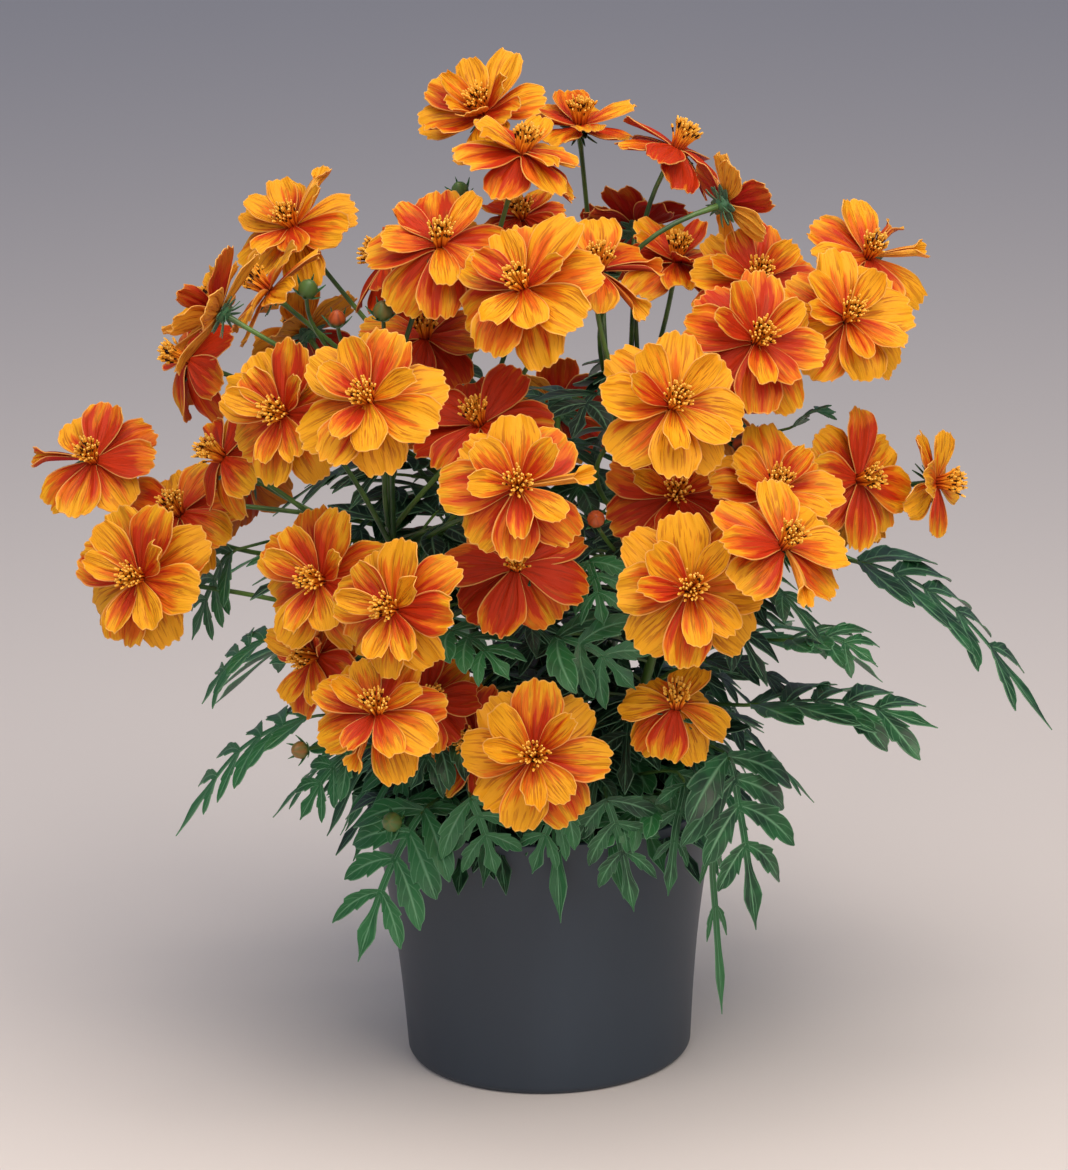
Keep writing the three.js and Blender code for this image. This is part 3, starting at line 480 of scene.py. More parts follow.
class Heap:
    """What one piece is made of: closed bodies with, at each point, what its material reads."""
    TRAITS = ("along", "across", "tone", "upper")

    def __init__(self):
        self.points, self.faces, self.finishes, self.traits = [], [], [], []
        self.count = 0

    def add(self, points, faces, finish, **traits):
        """Adds like bodies: points (bodies, points, 3), and the faces of one of them."""
        bodies, size = points.shape[:2]
        starts = (np.arange(bodies) * size + self.count)[:, None, None]
        for group in faces:
            self.faces.append((group[None] + starts).reshape(-1, group.shape[1]))
            self.finishes.append(np.full(bodies * len(group), finish))
        values = [np.broadcast_to(traits.get(name, 0), (bodies, size)).ravel() for name in self.TRAITS]
        self.traits.append(np.array(values))
        self.points.append(points.reshape(-1, 3))
        self.count += bodies * size

    def add_shells(self, sheets, thickness, finish, tone=0):
        """Adds sheets as shells that know how far along and across each point lies."""
        rows, columns = sheets.shape[-3:-1]
        sheets = sheets.reshape(-1, rows, columns, 3)
        along = np.tile(np.repeat(np.linspace(0, 1, rows), columns), 2)
        across = np.tile(np.linspace(-1, 1, columns), rows * 2)
        upper = np.repeat([1.0, 0.0], rows * columns)
        self.add(shells(sheets, thickness), sheet_faces(rows, columns), finish,
                 along=along, across=across, upper=upper, tone=np.reshape(tone, (-1, 1)))

    def add_rods(self, paths, radii, sides, finish):
        """Adds paths as rods that know how far along each ring lies."""
        rings = paths.shape[-2]
        along = np.repeat(np.linspace(0, 1, rings), sides)
        self.add(rods(paths, radii, sides), rod_faces(rings, sides), finish, along=along)

    def piece(self, name, materials, slot, *nodes, sharp=math.radians(50)):
        """The finished object: it rides with the plant and stands for its solids."""
        mesh = bpy.data.meshes.new(name)
        points = np.concatenate(self.points) * MM
        mesh.vertices.add(len(points))
        mesh.vertices.foreach_set("co", points.astype(np.float32).ravel())
        sizes = np.concatenate([np.full(len(group), group.shape[1]) for group in self.faces])
        mesh.loops.add(int(sizes.sum()))
        corners = np.concatenate([group.ravel() for group in self.faces])
        mesh.loops.foreach_set("vertex_index", corners.astype(np.int32))
        mesh.polygons.add(len(sizes))
        starts = np.concatenate([[0], np.cumsum(sizes)[:-1]])
        mesh.polygons.foreach_set("loop_start", starts.astype(np.int32))
        mesh.polygons.foreach_set("material_index", np.concatenate(self.finishes).astype(np.int32))
        mesh.polygons.foreach_set("use_smooth", np.ones(len(sizes), bool))
        for trait, values in zip(self.TRAITS, np.concatenate(self.traits, axis=1)):
            layer = mesh.attributes.new(trait, "FLOAT", "POINT")
            layer.data.foreach_set("value", values.astype(np.float32))
        mesh.update(calc_edges=True)
        mesh.set_sharp_from_angle(angle=sharp)
        for material in materials:
            mesh.materials.append(material)
        piece = bpy.data.objects.new(name, mesh)
        bpy.context.scene.collection.objects.link(piece)
        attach(piece, "root")
        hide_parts(*nodes)


def add_node(tree, kind, *values, output=0, named=(), **settings):
    """Adds a node with its settings. Values go to its inputs in order, and named holds further
    (input, value) pairs, where a value may be another node's socket. Gives an output socket."""
    node = tree.nodes.new(kind)
    for name, value in settings.items():
        setattr(node, name, value)
    for place, value in (*enumerate(values), *named):
        if isinstance(value, bpy.types.NodeSocket):
            tree.links.new(value, node.inputs[place])
        else:
            node.inputs[place].default_value = value
    return node.outputs[output]


def new_material(name):
    """A node material with only its output: the material, its nodes and its surface socket."""
    material = bpy.data.materials.new(name)
    material.use_nodes = True
    tree = material.node_tree
    tree.nodes.clear()
    return material, tree, tree.nodes.new("ShaderNodeOutputMaterial").inputs["Surface"]


def rgba(colour):
    """A linear colour, or an sRGB hex one, with full alpha."""
    return (*(linear(colour) if isinstance(colour, str) else colour), 1)


def petal_material(flowers):
    """A ray petal: thin living tissue with silky pleats. Light goes through it, so shaded petals
    glow red-orange. Flames of red run out from the base between yellow ones, partly the petal's
    own colour and partly painted shade; fine dark lines run along it; its pale rim is a painted
    highlight; and its under side is painted crimson for shade on some petals and pale yellow for
    light on others."""
    material, tree, surface = new_material("cosmos_ray_petal")
    along, across, tone, upper = (
        add_node(tree, TRAIT, output="Fac", attribute_name=name) for name in Heap.TRAITS)
    seed = add_node(tree, MATH, tone, 57.0, operation="MULTIPLY")
    fan = add_node(tree, "ShaderNodeCombineXYZ", across, along, seed)
    # The fan's coordinates in mm, drawn out along the petal so that a mark is many times as
    # long as it is wide. Dark lines are 0.9 mm apart and flames 3.4 mm
    marks = []
    for gap, stretch, detail in ((0.9, 14, 3.0), (3.4, 7, 2.0)):
        sizes = (TYPICAL_PETAL[0] / gap, TYPICAL_PETAL[1] / gap / stretch, 1.0)
        place = add_node(tree, "ShaderNodeVectorMath", fan, sizes, operation="MULTIPLY")
        marks.append(add_node(tree, NOISE, named=(("Vector", place), ("Scale", 1.0), ("Detail", detail))))
    line, flame = marks
    # The lean towards red is partly the petals' own colour and partly painted shade: red at the base and in
    # the flames stands for the shade where petals overlap and shadow each other, and a low tone reddens the
    # whole petal
    lean = add_node(tree, MATH, along, 0.95, -0.42, operation="MULTIPLY_ADD")
    for value, weight in ((flame, 1.7), (line, 1.0), (tone, 1.15)):
        centred = add_node(tree, MATH, value, 0.5, operation="SUBTRACT")
        lean = add_node(tree, MATH, centred, weight, lean, operation="MULTIPLY_ADD")
    orange = add_node(tree, STEP, lean, -0.12, 0.1, interpolation_type="SMOOTHSTEP")
    yellow = add_node(tree, STEP, lean, 0.16, 0.5, interpolation_type="SMOOTHSTEP")
    ink = add_node(tree, STEP, line, 0.53, 0.6, 0.0, 0.62, interpolation_type="SMOOTHSTEP")
    fade = add_node(tree, STEP, along, 0.55, 1.0, 1.0, 0.35, interpolation_type="SMOOTHSTEP")
    ink = add_node(tree, MATH, ink, fade, operation="MULTIPLY")
    # Painted light and shade on the under side: the tone picks pale yellow for under sides in light and
    # crimson for those in shade
    painted_lit_underside = add_node(tree, STEP, tone, 0.45, 0.75, interpolation_type="SMOOTHSTEP")
    under = add_node(tree, MIX, output=2, data_type="RGBA",
                     named=((0, painted_lit_underside), (6, rgba(flowers.painted_shade_under_colour)), (7, rgba("#F2B63E"))))
    turned = add_node(tree, STEP, upper, 1.0, 0.0, 0.0, 0.7)
    # Painted highlight: a thin pale band along the petal's edge and tip stands for the bright line of light
    # on its rim
    side = add_node(tree, MATH, across, operation="ABSOLUTE")
    edge = add_node(tree, STEP, side, 0.93, 0.99, interpolation_type="SMOOTHSTEP")
    tip = add_node(tree, STEP, along, 0.97, 1.0, interpolation_type="SMOOTHSTEP")
    rim = add_node(tree, MATH, edge, tip, operation="MAXIMUM")
    rim = add_node(tree, MATH, rim, 0.7, operation="MULTIPLY")
    body = rgba(flowers.base_colour)
    for share, colour in ((orange, rgba(flowers.middle_colour)), (yellow, rgba(flowers.tip_colour)),
                          (turned, under), (ink, rgba("#A8330A")), (rim, rgba("#FFD071"))):
        body = add_node(tree, MIX, output=2, data_type="RGBA", named=((0, share), (6, body), (7, colour)))
    bump = add_node(tree, BUMP, named=(("Strength", 0.8), ("Distance", 0.7 * MM), ("Height", line)))
    skin = add_node(tree, SKIN, named=(
        ("Base Color", body), ("Roughness", 0.52), ("Specular IOR Level", 0.28), ("Normal", bump)))
    through = add_node(tree, MIX, output=2, data_type="RGBA",
                       named=((0, 0.45), (6, body), (7, rgba("#FF4A06"))))
    glow = add_node(tree, GLOW, named=(("Color", through), ("Normal", bump)))
    tree.links.new(add_node(tree, "ShaderNodeMixShader", 0.3, skin, glow), surface)
    return material


def floret_material():
    """Disc florets: waxy tubes, red-orange below and yellow at their mouths, with near-black
    anthers on some. The mix reads as a speckled brush from a step away."""
    material, tree, surface = new_material("cosmos_disc_floret")
    along = add_node(tree, TRAIT, output="Fac", attribute_name="along")
    ramp = tree.nodes.new("ShaderNodeValToRGB")
    tree.links.new(along, ramp.inputs["Fac"])
    stops = ((0.0, "#7E1E06"), (0.28, "#C8500C"), (0.5, "#EE9420"), (0.62, "#F4A82A"),
             (0.68, "#3A1408"), (0.84, "#2A100A"), (0.89, "#F2A826"), (1.0, "#FFCC58"))
    for place, _ in stops[1:-1]:
        ramp.color_ramp.elements.new(place)
    for element, (place, code) in zip(ramp.color_ramp.elements, stops):
        element.position = place
        element.color = rgba(code)
    skin = add_node(tree, SKIN, named=(
        ("Base Color", ramp.outputs[0]), ("Roughness", 0.48), ("Specular IOR Level", 0.35)))
    tree.links.new(skin, surface)
    return material


def stalk_material(foliage):
    """Green stalks: smooth, waxy living skin, so they carry a soft bright line of light. The
    green is uneven, darker in patches about 20 mm long."""
    material, tree, surface = new_material("waxy_green_stalk")
    place = add_node(tree, PLACE, output="Object")
    patch = add_node(tree, NOISE, named=(("Vector", place), ("Scale", 1 / (20 * MM)), ("Detail", 3.0)))
    light = add_node(tree, STEP, patch, 0.35, 0.7, interpolation_type="SMOOTHSTEP")
    body = add_node(tree, MIX, output=2, data_type="RGBA",
                    named=((0, light), (6, rgba("#2C4E26")), (7, rgba(foliage.stalk_colour))))
    skin = add_node(tree, SKIN, named=(
        ("Base Color", body), ("Roughness", 0.36), ("Specular IOR Level", 0.5)))
    tree.links.new(skin, surface)
    return material


def leaf_material(foliage):
    """Lobed leaves: thin, dark, slightly waxy blades. The ribs and rims are paler, veins run out
    to the sides, the blade is mottled in patches of 9 mm, and the under side is greyer."""
    material, tree, surface = new_material("cosmos_leaf_blade")
    along, across, tone, upper = (
        add_node(tree, TRAIT, output="Fac", attribute_name=name) for name in Heap.TRAITS)
    place = add_node(tree, PLACE, output="Object")
    patch = add_node(tree, NOISE, named=(("Vector", place), ("Scale", 1 / (9 * MM)), ("Detail", 4.0)))
    # The mottle plus the tone sets how far the blade goes from dark to leaf colour; the tone is lowest on the
    # inner leaves, as painted shade inside the plant
    shade = add_node(tree, MATH, patch, 0.9, operation="MULTIPLY")
    shade = add_node(tree, MATH, tone, 0.55, shade, operation="MULTIPLY_ADD")
    light = add_node(tree, STEP, shade, 0.4, 0.95, interpolation_type="SMOOTHSTEP")
    side = add_node(tree, MATH, across, operation="ABSOLUTE")
    # Veins leave the rib at a slant, five to a lobe
    slant = add_node(tree, MATH, along, 34.0, operation="MULTIPLY")
    slant = add_node(tree, MATH, side, -9.0, slant, operation="MULTIPLY_ADD")
    wave = add_node(tree, MATH, slant, operation="SINE")
    vein = add_node(tree, STEP, wave, 0.8, 1.0, 0.0, 0.3, interpolation_type="SMOOTHSTEP")
    midrib = add_node(tree, STEP, side, 0.14, 0.02, 0.0, 0.75)
    rim = add_node(tree, STEP, side, 0.88, 1.0, 0.0, 0.55)
    pale = add_node(tree, MATH, midrib, rim, operation="MAXIMUM")
    pale = add_node(tree, MATH, pale, vein, operation="MAXIMUM")
    grey = add_node(tree, STEP, upper, 1.0, 0.0, 0.0, 0.35)
    body = rgba("#0D2B1D")
    for share, colour in ((light, rgba(foliage.leaf_colour)), (pale, rgba(foliage.rib_colour)),
                          (grey, rgba("#6A9076"))):
        body = add_node(tree, MIX, output=2, data_type="RGBA", named=((0, share), (6, body), (7, colour)))
    height = add_node(tree, MATH, patch, 0.5, operation="MULTIPLY")
    height = add_node(tree, MATH, height, pale, operation="SUBTRACT")
    bump = add_node(tree, BUMP, named=(("Strength", 0.6), ("Distance", 0.6 * MM), ("Height", height)))
    skin = add_node(tree, SKIN, named=(
        ("Base Color", body), ("Roughness", 0.4), ("Specular IOR Level", 0.45), ("Normal", bump)))
    glow = add_node(tree, GLOW, named=(("Color", rgba("#4F9A2C")), ("Normal", bump)))
    tree.links.new(add_node(tree, "ShaderNodeMixShader", 0.1, skin, glow), surface)
    return material


def bud_material():
    """Buds: tight waxy sepals, olive green while young, with orange and then brown petals that
    show between them as they ripen."""
    material, tree, surface = new_material("cosmos_bud_sepals")
    along, tone = (add_node(tree, TRAIT, output="Fac", attribute_name=name) for name in ("along", "tone"))
    open_part = add_node(tree, STEP, along, 0.3, 0.6, interpolation_type="SMOOTHSTEP")
    orange = add_node(tree, STEP, tone, 0.1, 0.5)
    brown = add_node(tree, STEP, tone, 0.6, 0.9)
    orange = add_node(tree, MATH, orange, open_part, operation="MULTIPLY")
    body = rgba("#4A6A32")
    for share, colour in ((orange, rgba("#B8531C")), (brown, rgba("#4A2012"))):
        body = add_node(tree, MIX, output=2, data_type="RGBA", named=((0, share), (6, body), (7, colour)))
    skin = add_node(tree, SKIN, named=(("Base Color", body), ("Roughness", 0.45)))
    tree.links.new(skin, surface)
    return material


def pot_material(pot):
    """Polypropylene, injection moulded with a satin grain: dark blue-grey, with broad soft
    highlights and faint scuffs about 70 mm long. The grain of 0.2 mm is drawn at 0.7 mm, because
    it would be too fine to show."""
    material, tree, surface = new_material("satin_moulded_polypropylene")
    place = add_node(tree, PLACE, output="Object")
    stretch = add_node(tree, "ShaderNodeVectorMath", place, (1.0, 1.0, 0.25), operation="MULTIPLY")
    patch = add_node(tree, NOISE, named=(("Vector", stretch), ("Scale", 1 / (70 * MM)), ("Detail", 4.0)))
    dust = add_node(tree, STEP, patch, 0.4, 0.75, 0.0, 0.35, interpolation_type="SMOOTHSTEP")
    body = add_node(tree, MIX, output=2, data_type="RGBA",
                    named=((0, dust), (6, rgba(pot.colour)), (7, rgba("#3A4754"))))
    grain = add_node(tree, NOISE, named=(("Vector", place), ("Scale", 1 / (0.7 * MM))))
    bump = add_node(tree, BUMP, named=(("Strength", 0.12), ("Distance", 0.2 * MM), ("Height", grain)))
    rough = add_node(tree, MATH, patch, 0.12, 0.4, operation="MULTIPLY_ADD")
    skin = add_node(tree, SKIN, named=(
        ("Base Color", body), ("Roughness", rough), ("Specular IOR Level", 0.5), ("Normal", bump)))
    tree.links.new(skin, surface)
    return material


def compost_material():
    """Damp peat compost: matt near-black crumbs of 2.4 mm with a few paler brown fibres."""
    material, tree, surface = new_material("damp_peat_compost")
    place = add_node(tree, PLACE, output="Object")
    crumb = add_node(tree, NOISE, named=(("Vector", place), ("Scale", 1 / (2.4 * MM)), ("Detail", 4.0)))
    fibre = add_node(tree, STEP, crumb, 0.45, 0.75, interpolation_type="SMOOTHSTEP")
    body = add_node(tree, MIX, output=2, data_type="RGBA",
                    named=((0, fibre), (6, rgba("#1B130D")), (7, rgba("#4A3524"))))
    bump = add_node(tree, BUMP, named=(("Strength", 0.8), ("Distance", 1.0 * MM), ("Height", crumb)))
    skin = add_node(tree, SKIN, named=(("Base Color", body), ("Roughness", 0.9), ("Normal", bump)))
    tree.links.new(skin, surface)
    return material


def paper_material(stage):
    """The floor: matt seamless paper with a pulp of 1.1 mm, so faint that it reads as plain."""
    material, tree, surface = new_material("seamless_paper")
    place = add_node(tree, PLACE, output="Object")
    pulp = add_node(tree, NOISE, named=(("Vector", place), ("Scale", 1 / (1.1 * MM))))
    share = add_node(tree, MATH, pulp, 0.08, operation="MULTIPLY")
    body = add_node(tree, MIX, output=2, data_type="RGBA",
                    named=((0, share), (6, rgba(stage.floor_colour)), (7, rgba("#C6BFBA"))))
    skin = add_node(tree, SKIN, named=(
        ("Base Color", body), ("Roughness", 0.85), ("Specular IOR Level", 0.1)))
    tree.links.new(skin, surface)
    return material


def lathe(profile, segments, relief=None):
    """A profile of (radius, height) pairs turned about Z. Its first and last points are on the
    axis and become single points. Relief moves the rings between them, up and down."""
    profile = np.asarray(profile, float)
    angle = np.linspace(0, 2 * math.pi, segments, endpoint=False)
    ring = np.stack([np.cos(angle), np.sin(angle), np.zeros(segments)], -1)
    rings = profile[1:-1, :1, None] * ring + profile[1:-1, 1:, None] * UP
    if relief is not None:
        rings[..., 2] += relief
    rings = rings.reshape(-1, 3)
    points = np.vstack([[0, 0, profile[0, 1]], rings, [0, 0, profile[-1, 1]]])
    grid = np.arange(len(rings)).reshape(-1, segments) + 1
    turned = np.roll(grid, -1, axis=1)
    bands = np.stack([grid[:-1], turned[:-1], turned[1:], grid[1:]], -1).reshape(-1, 4)
    start = np.stack([turned[0], grid[0], np.zeros(segments, int)], -1)
    end = np.stack([grid[-1], turned[-1], np.full(segments, len(points) - 1)], -1)
    return points[None], [bands, start, end]


def pot_radius(height):
    """The wall's outer radius: a straight flare, and a curl outwards that grows with a power of
    the height."""
    part = height / POT_HEIGHT
    flare = POT_RIM_RADIUS - POT_BASE_RADIUS
    curl = (1 - POT_STRAIGHT_SHARE) * part ** POT_CURL_POWER
    return POT_BASE_RADIUS + flare * (POT_STRAIGHT_SHARE * part + curl)


def arc(centre, radius, start, end, steps):
    """Points of an arc in the plane of the profile, angles in degrees from outward."""
    angle = np.radians(np.linspace(start, end, steps))
    return np.stack([centre[0] + radius * np.cos(angle), centre[1] + radius * np.sin(angle)], -1)


class Stem:
    """A stem's route, from its foot in the soil, up to a knee, and out to its woody top."""

    def __init__(self, foot, top):
        foot = np.array([foot[0], -foot[1], STEM_FOOT], float)
        knee = np.array([foot[0], foot[1], SOIL_TOP + STEM_KNEE])
        top = np.array([top[0], -top[1], top[2]], float)
        waist = knee + (top - knee) * [0.5, 0.4, 0.45]
        self.top = top[2]
        self.path = spline([foot, knee, waist, top], np.linspace(0, 1, 241))

    def at(self, height):
        """The stem's point at a height."""
        return np.array([np.interp(height, self.path[:, 2], self.path[:, side]) for side in range(3)])


STEM_LINES = [Stem(foot, top) for foot, top in STEMS]


def stem_of(point):
    """The stem that carries what ends at a point: left or right, then near or far."""
    return (0 if point[0] < 0 else 1) + (0 if -point[1] > NEAR_STEMS_REACH else 2)


def stalk_path(hub, axis, seed, reach, leave, bend, shares):
    """A stalk's curve: it leaves its stem upwards and outwards, and comes to the hub from behind."""
    stem = STEM_LINES[stem_of(hub)]
    if leave is None:
        leave = STALK_LEAVE + STALK_LEAVE_VARIES * wobble(seed, 3)
    height = SOIL_TOP + (hub[2] - SOIL_TOP) * leave
    height = np.clip(height, SOIL_TOP + STALK_LOWEST, stem.top - STEM_TIP_FREE)
    start, end = stem.at(height), hub - axis * reach
    way = end - start
    span = np.linalg.norm(way)
    sideways = unit(np.cross(way, UP)) * bend
    outward = unit(way * [1, 1, 0])
    first = start + sideways + UP * span * STALK_RISE + outward * span * STALK_SPREAD
    second = end + sideways - axis * span * STALK_NECK
    return bezier(np.array([start, first, second, end]), shares)


def all_blooms():
    """Every flower as (number, hub, axis, row), the front ones first."""
    rows = [(sight(row.px, row.py, row.toward), row) for row in FRONT_BLOOMS]
    for x, z, toward, across, yaw, rise, turn in FAR_BLOOMS:
        rows.append((np.array([x, -toward, z], float), Bloom(0, 0, toward, across, yaw, rise, turn)))
    return [(number, hub, facing(row.yaw, row.rise), row) for number, (hub, row) in enumerate(rows)]


# Petal layers: lift at the shoulder and the tip in degrees, reach and width as shares of the
# flower's radius, the sectors that carry them, and how much of a trough each petal is
LAYERS = (
    (-3, -12, 1.0, 0.35, (0, 2, 4, 6), 0.15),
    (13, 4, 0.97, 0.34, (1, 3, 5, 7), 0.25),
    (36, 40, 0.66, 0.2, (0, 3, 5), 0.7),
    (22, 30, 0.74, 0.24, (2, 6), 0.5),
)


def petals_of(number, row):
    """The numbers of each petal of a flower, as one array per trait."""
    radius = row.across / 2
    sector = 2 * math.pi / HUB_SECTORS
    rows = []
    for order, (lift, tip, reach, half, sectors, trough) in enumerate(LAYERS):
        if order > 1 and not row.semi:
            break
        for side in sectors:
            def vary(amount, count):
                return amount * wobble(number * 10 + order, side + count)
            azimuth = math.radians(row.turn) + (side + 0.5 + vary(0.12, 0)) * sector
            hang = row.droop * (1 - math.sin(azimuth) * math.cos(math.radians(row.rise)))
            rows.append(dict(
                azimuth=azimuth,
                hang=math.radians(hang),
                length=radius * reach * (1 + vary(0.07, 20)),
                half=radius * half * (1 + vary(0.08, 40)),
                lift=math.radians(lift + vary(3.5, 60)),
                tip=math.radians(tip + vary(6, 80)),
                twist=vary(0.8, 100) + vary(1.2, 120),
                trough=trough + vary(0.35, 140),
                curl=math.radians(vary(22, 160)),
                bow=vary(0.07, 180),
                ruffle=0.7 + vary(0.6, 200),
                teeth=0.05 + vary(0.02, 220),
                phase=vary(math.pi, 240),
                # The tone varies at random about a mean that the flower's painted shade lowers, so a shaded
                # flower's petals are painted redder
                tone=min(max(0.85 * (1 - row.painted_shade) + vary(0.3, 260), 0), 1),
                base=order * LAYER_STEP,
                rolled=side in row.tubes and order < 2,
            ))
    return {name: np.array([one[name] for one in rows], float) for name in rows[0]}


def petal_sheets(petals, pleat_depth, rows, columns):
    """Petals along +X, facing +Z. The rib is a line whose slope goes smoothly from the lift to the
    tip's, less how far it hangs, found by adding up its cosines and sines. The width swells from
    a claw to the shoulder and narrows to a blunt tip. Across, each petal is an arc of its own
    width, or nearly a tube where it is rolled, plus a few cosine pleats, a ruffle that grows to
    the tip, and a twist. The tip is cut back by a power of the distance from the rib, and by the
    notches of a cosine's absolute value, which leaves teeth."""
    p = {name: values[:, None, None] for name, values in petals.items()}
    v = np.linspace(0, 1, rows + 1)[None, :, None]
    u = np.linspace(-1, 1, columns + 1)[None, None, :]
    slope = p["lift"] + (p["tip"] - p["lift"]) * smooth(v, 0.35, 0.95) + p["curl"] * smooth(v, 0.7, 1)
    root = HUB_RADIUS * 0.5

    def summed(values):
        middle = (values[:, 1:] + values[:, :-1]) / 2 / rows
        return np.concatenate([np.zeros_like(middle[:, :1]), np.cumsum(middle, axis=1)], axis=1)

    stretch = (p["length"] - root) / np.maximum(summed(np.cos(slope))[:, -1:], 0.8)
    slope = slope - p["hang"] * smooth(v, -0.1, 0.3)
    out, rise = summed(np.cos(slope)), summed(np.sin(slope))
    claw = CLAW_WIDTH + (1 - CLAW_WIDTH) * np.sin(np.minimum(v / SHOULDER, 1) * math.pi / 2) ** 1.2
    width = p["half"] * claw * (1 - (1 - TIP_WIDTH) * smooth(v, SHOULDER, 1.05) ** 1.2)
    bent = np.where(p["rolled"] > 0, 2.9 - 1.5 * smooth(v, 0.7, 1.0), p["trough"] * (0.4 + 0.6 * v))
    width = np.where(p["rolled"] > 0, width * (0.55 + 0.25 * smooth(v, 0.75, 1.0)), width)
    bent = np.where(np.abs(bent) < 0.02, 0.02, bent)
    aside = width / bent * np.sin(bent * u)
    lifted = width / bent * (1 - np.cos(bent * u))
    pleats = np.cos(math.pi * (3.4 * u + 0.3 * p["twist"])) + 0.5 * np.cos(math.pi * (6.3 * u + p["phase"]))
    lifted = lifted + pleat_depth * pleats * np.sin(math.pi * np.minimum(v * 1.1, 0.8)) ** 0.6
    lifted = lifted + p["ruffle"] * np.sin(1.6 * math.pi * u + p["phase"]) * v ** 3
    lifted = lifted + p["twist"] * u * v
    aside = aside + p["bow"] * p["length"] * v ** 2
    tooth = 1 - np.abs(np.cos(math.pi * 2.2 * u + p["phase"])) + 0.3 * np.cos(7 * u + 9 * p["phase"])
    trim = (0.11 * np.abs(u) ** 3 + p["teeth"] * tooth) * smooth(v, 0.55, 1.0)
    x = root + (out - trim * np.cos(slope)) * stretch - lifted * np.sin(slope)
    z = p["base"] + (rise - trim * np.sin(slope)) * stretch + lifted * np.cos(slope)
    turn = p["azimuth"]
    return np.stack([x * np.cos(turn) - aside * np.sin(turn), x * np.sin(turn) + aside * np.cos(turn), z], -1)


def floret_rods(number, height):
    """The disc's florets, set out by the golden angle with equal room each, and shifted a little
    by a draw. They lean out more the further up they go, and sway to a side. Each is a narrow
    tube, a dark anther on some, and a yellow knob of pollen."""
    count = np.arange(FLORETS)
    draw = np.random.default_rng(900 + number)
    angle = (count * math.pi * (3 - math.sqrt(5)) + number + draw.uniform(-0.35, 0.35, FLORETS))[:, None]
    share = np.sqrt((count[:, None] + 0.5) / FLORETS) + draw.uniform(-0.06, 0.06, (FLORETS, 1))
    tall = height * (1 - 0.17 * share ** 2) + draw.uniform(-2.2, 1.0, (FLORETS, 1))
    rings = np.array(FLORET_RINGS)
    out = 2.2 * share + (3.7 * share + draw.normal(0, 0.5, (FLORETS, 1))) * rings ** 1.6
    sway = draw.normal(0, 0.9, (FLORETS, 1)) * rings ** 2
    paths = np.stack([out * np.cos(angle) - sway * np.sin(angle),
                      out * np.sin(angle) + sway * np.cos(angle), 0.4 + tall * rings], -1)
    along = np.broadcast_to(FLORET_RAMP, (FLORETS, len(rings)))
    plain = (draw.random(FLORETS)[:, None] < 0.45) & (rings > 0.6) & (rings < 0.86)
    along = np.where(plain, 0.62, along) - 0.04 * draw.random((FLORETS, 1))
    return paths, np.broadcast_to(FLORET_RADII, along.shape), np.maximum(along, 0)


def blade_sheets(paths, side, half, outline, fold=0.2, columns=4, teeth=0, jag=0.38):
    """Blades along paths. Each row is level with the side given, as wide as the outline says,
    and folded up from its rib by a share of its width. Teeth are a sawtooth on the width of the
    outer points, which swells as a square root, drops at once, and leans forward where it is widest."""
    tangent = unit(np.gradient(paths, axis=-2))
    side = np.broadcast_to(side, paths.shape)
    level = unit(side - (side * tangent).sum(-1, keepdims=True) * tangent)
    normal = np.cross(level, tangent)
    u = np.linspace(-1, 1, columns + 1)
    t = np.linspace(0, 1, paths.shape[-2])[:, None]
    wave = ((teeth * t + 0.35 * (u > 0)) % 1) ** 0.5
    edge = np.abs(u) ** 2 * (teeth > 0)
    across = (u * (1 - jag * edge * (1 - wave)))[..., None]
    ahead = (jag * edge * wave)[..., None]
    lift = (np.abs(u) * fold)[:, None]
    width = (np.asarray(half)[..., None] * outline)[..., None, None]
    moved = lift * normal[..., None, :] - across * level[..., None, :] + ahead * tangent[..., None, :]
    return paths[..., None, :] + width * moved


def cup_of(number):
    """The green cup under a flower: a short urn as a rod, and as sheets eight bracts pressed
    under the petals and eight narrow ones that spread and curl away."""
    urn = np.array([[0, 0, -HUB_CONE - LAYER_STEP], [0, 0, -3.2], [0, 0, -1.8], [0, 0, -0.8]])
    urn = rods(urn[None], np.array([[1.2, 2.6, 3.9, 4.2]]), 10)
    bracts = []
    turn = (np.arange(8) + 0.2 * np.sin(np.arange(8) * 2.3 + number)) * math.pi / 4
    out = np.stack([np.cos(turn), np.sin(turn), np.zeros(8)], -1)[:, None, :]
    level = np.cross(out, UP)
    for radii, heights, half in (
            ((3.2, 6.0, 8.6), (-1.6, -1.9, -1.7), 1.7),
            ((2.2, 5.0, 8.6), (-2.8, -4.4, -5.4 - 1.6 * wobble(number, 9)), 0.6)):
        path = out * np.array(radii)[:, None] + UP * np.array(heights)[:, None]
        path = bezier(path, np.linspace(0, 1, 5))
        outline = np.sin(math.pi * (0.14 + 0.82 * np.linspace(0, 1, 5) ** 0.8)) ** 0.8
        bracts.append(blade_sheets(path, level, np.full(8, half), outline, 0.15, 2))
    return urn, bracts


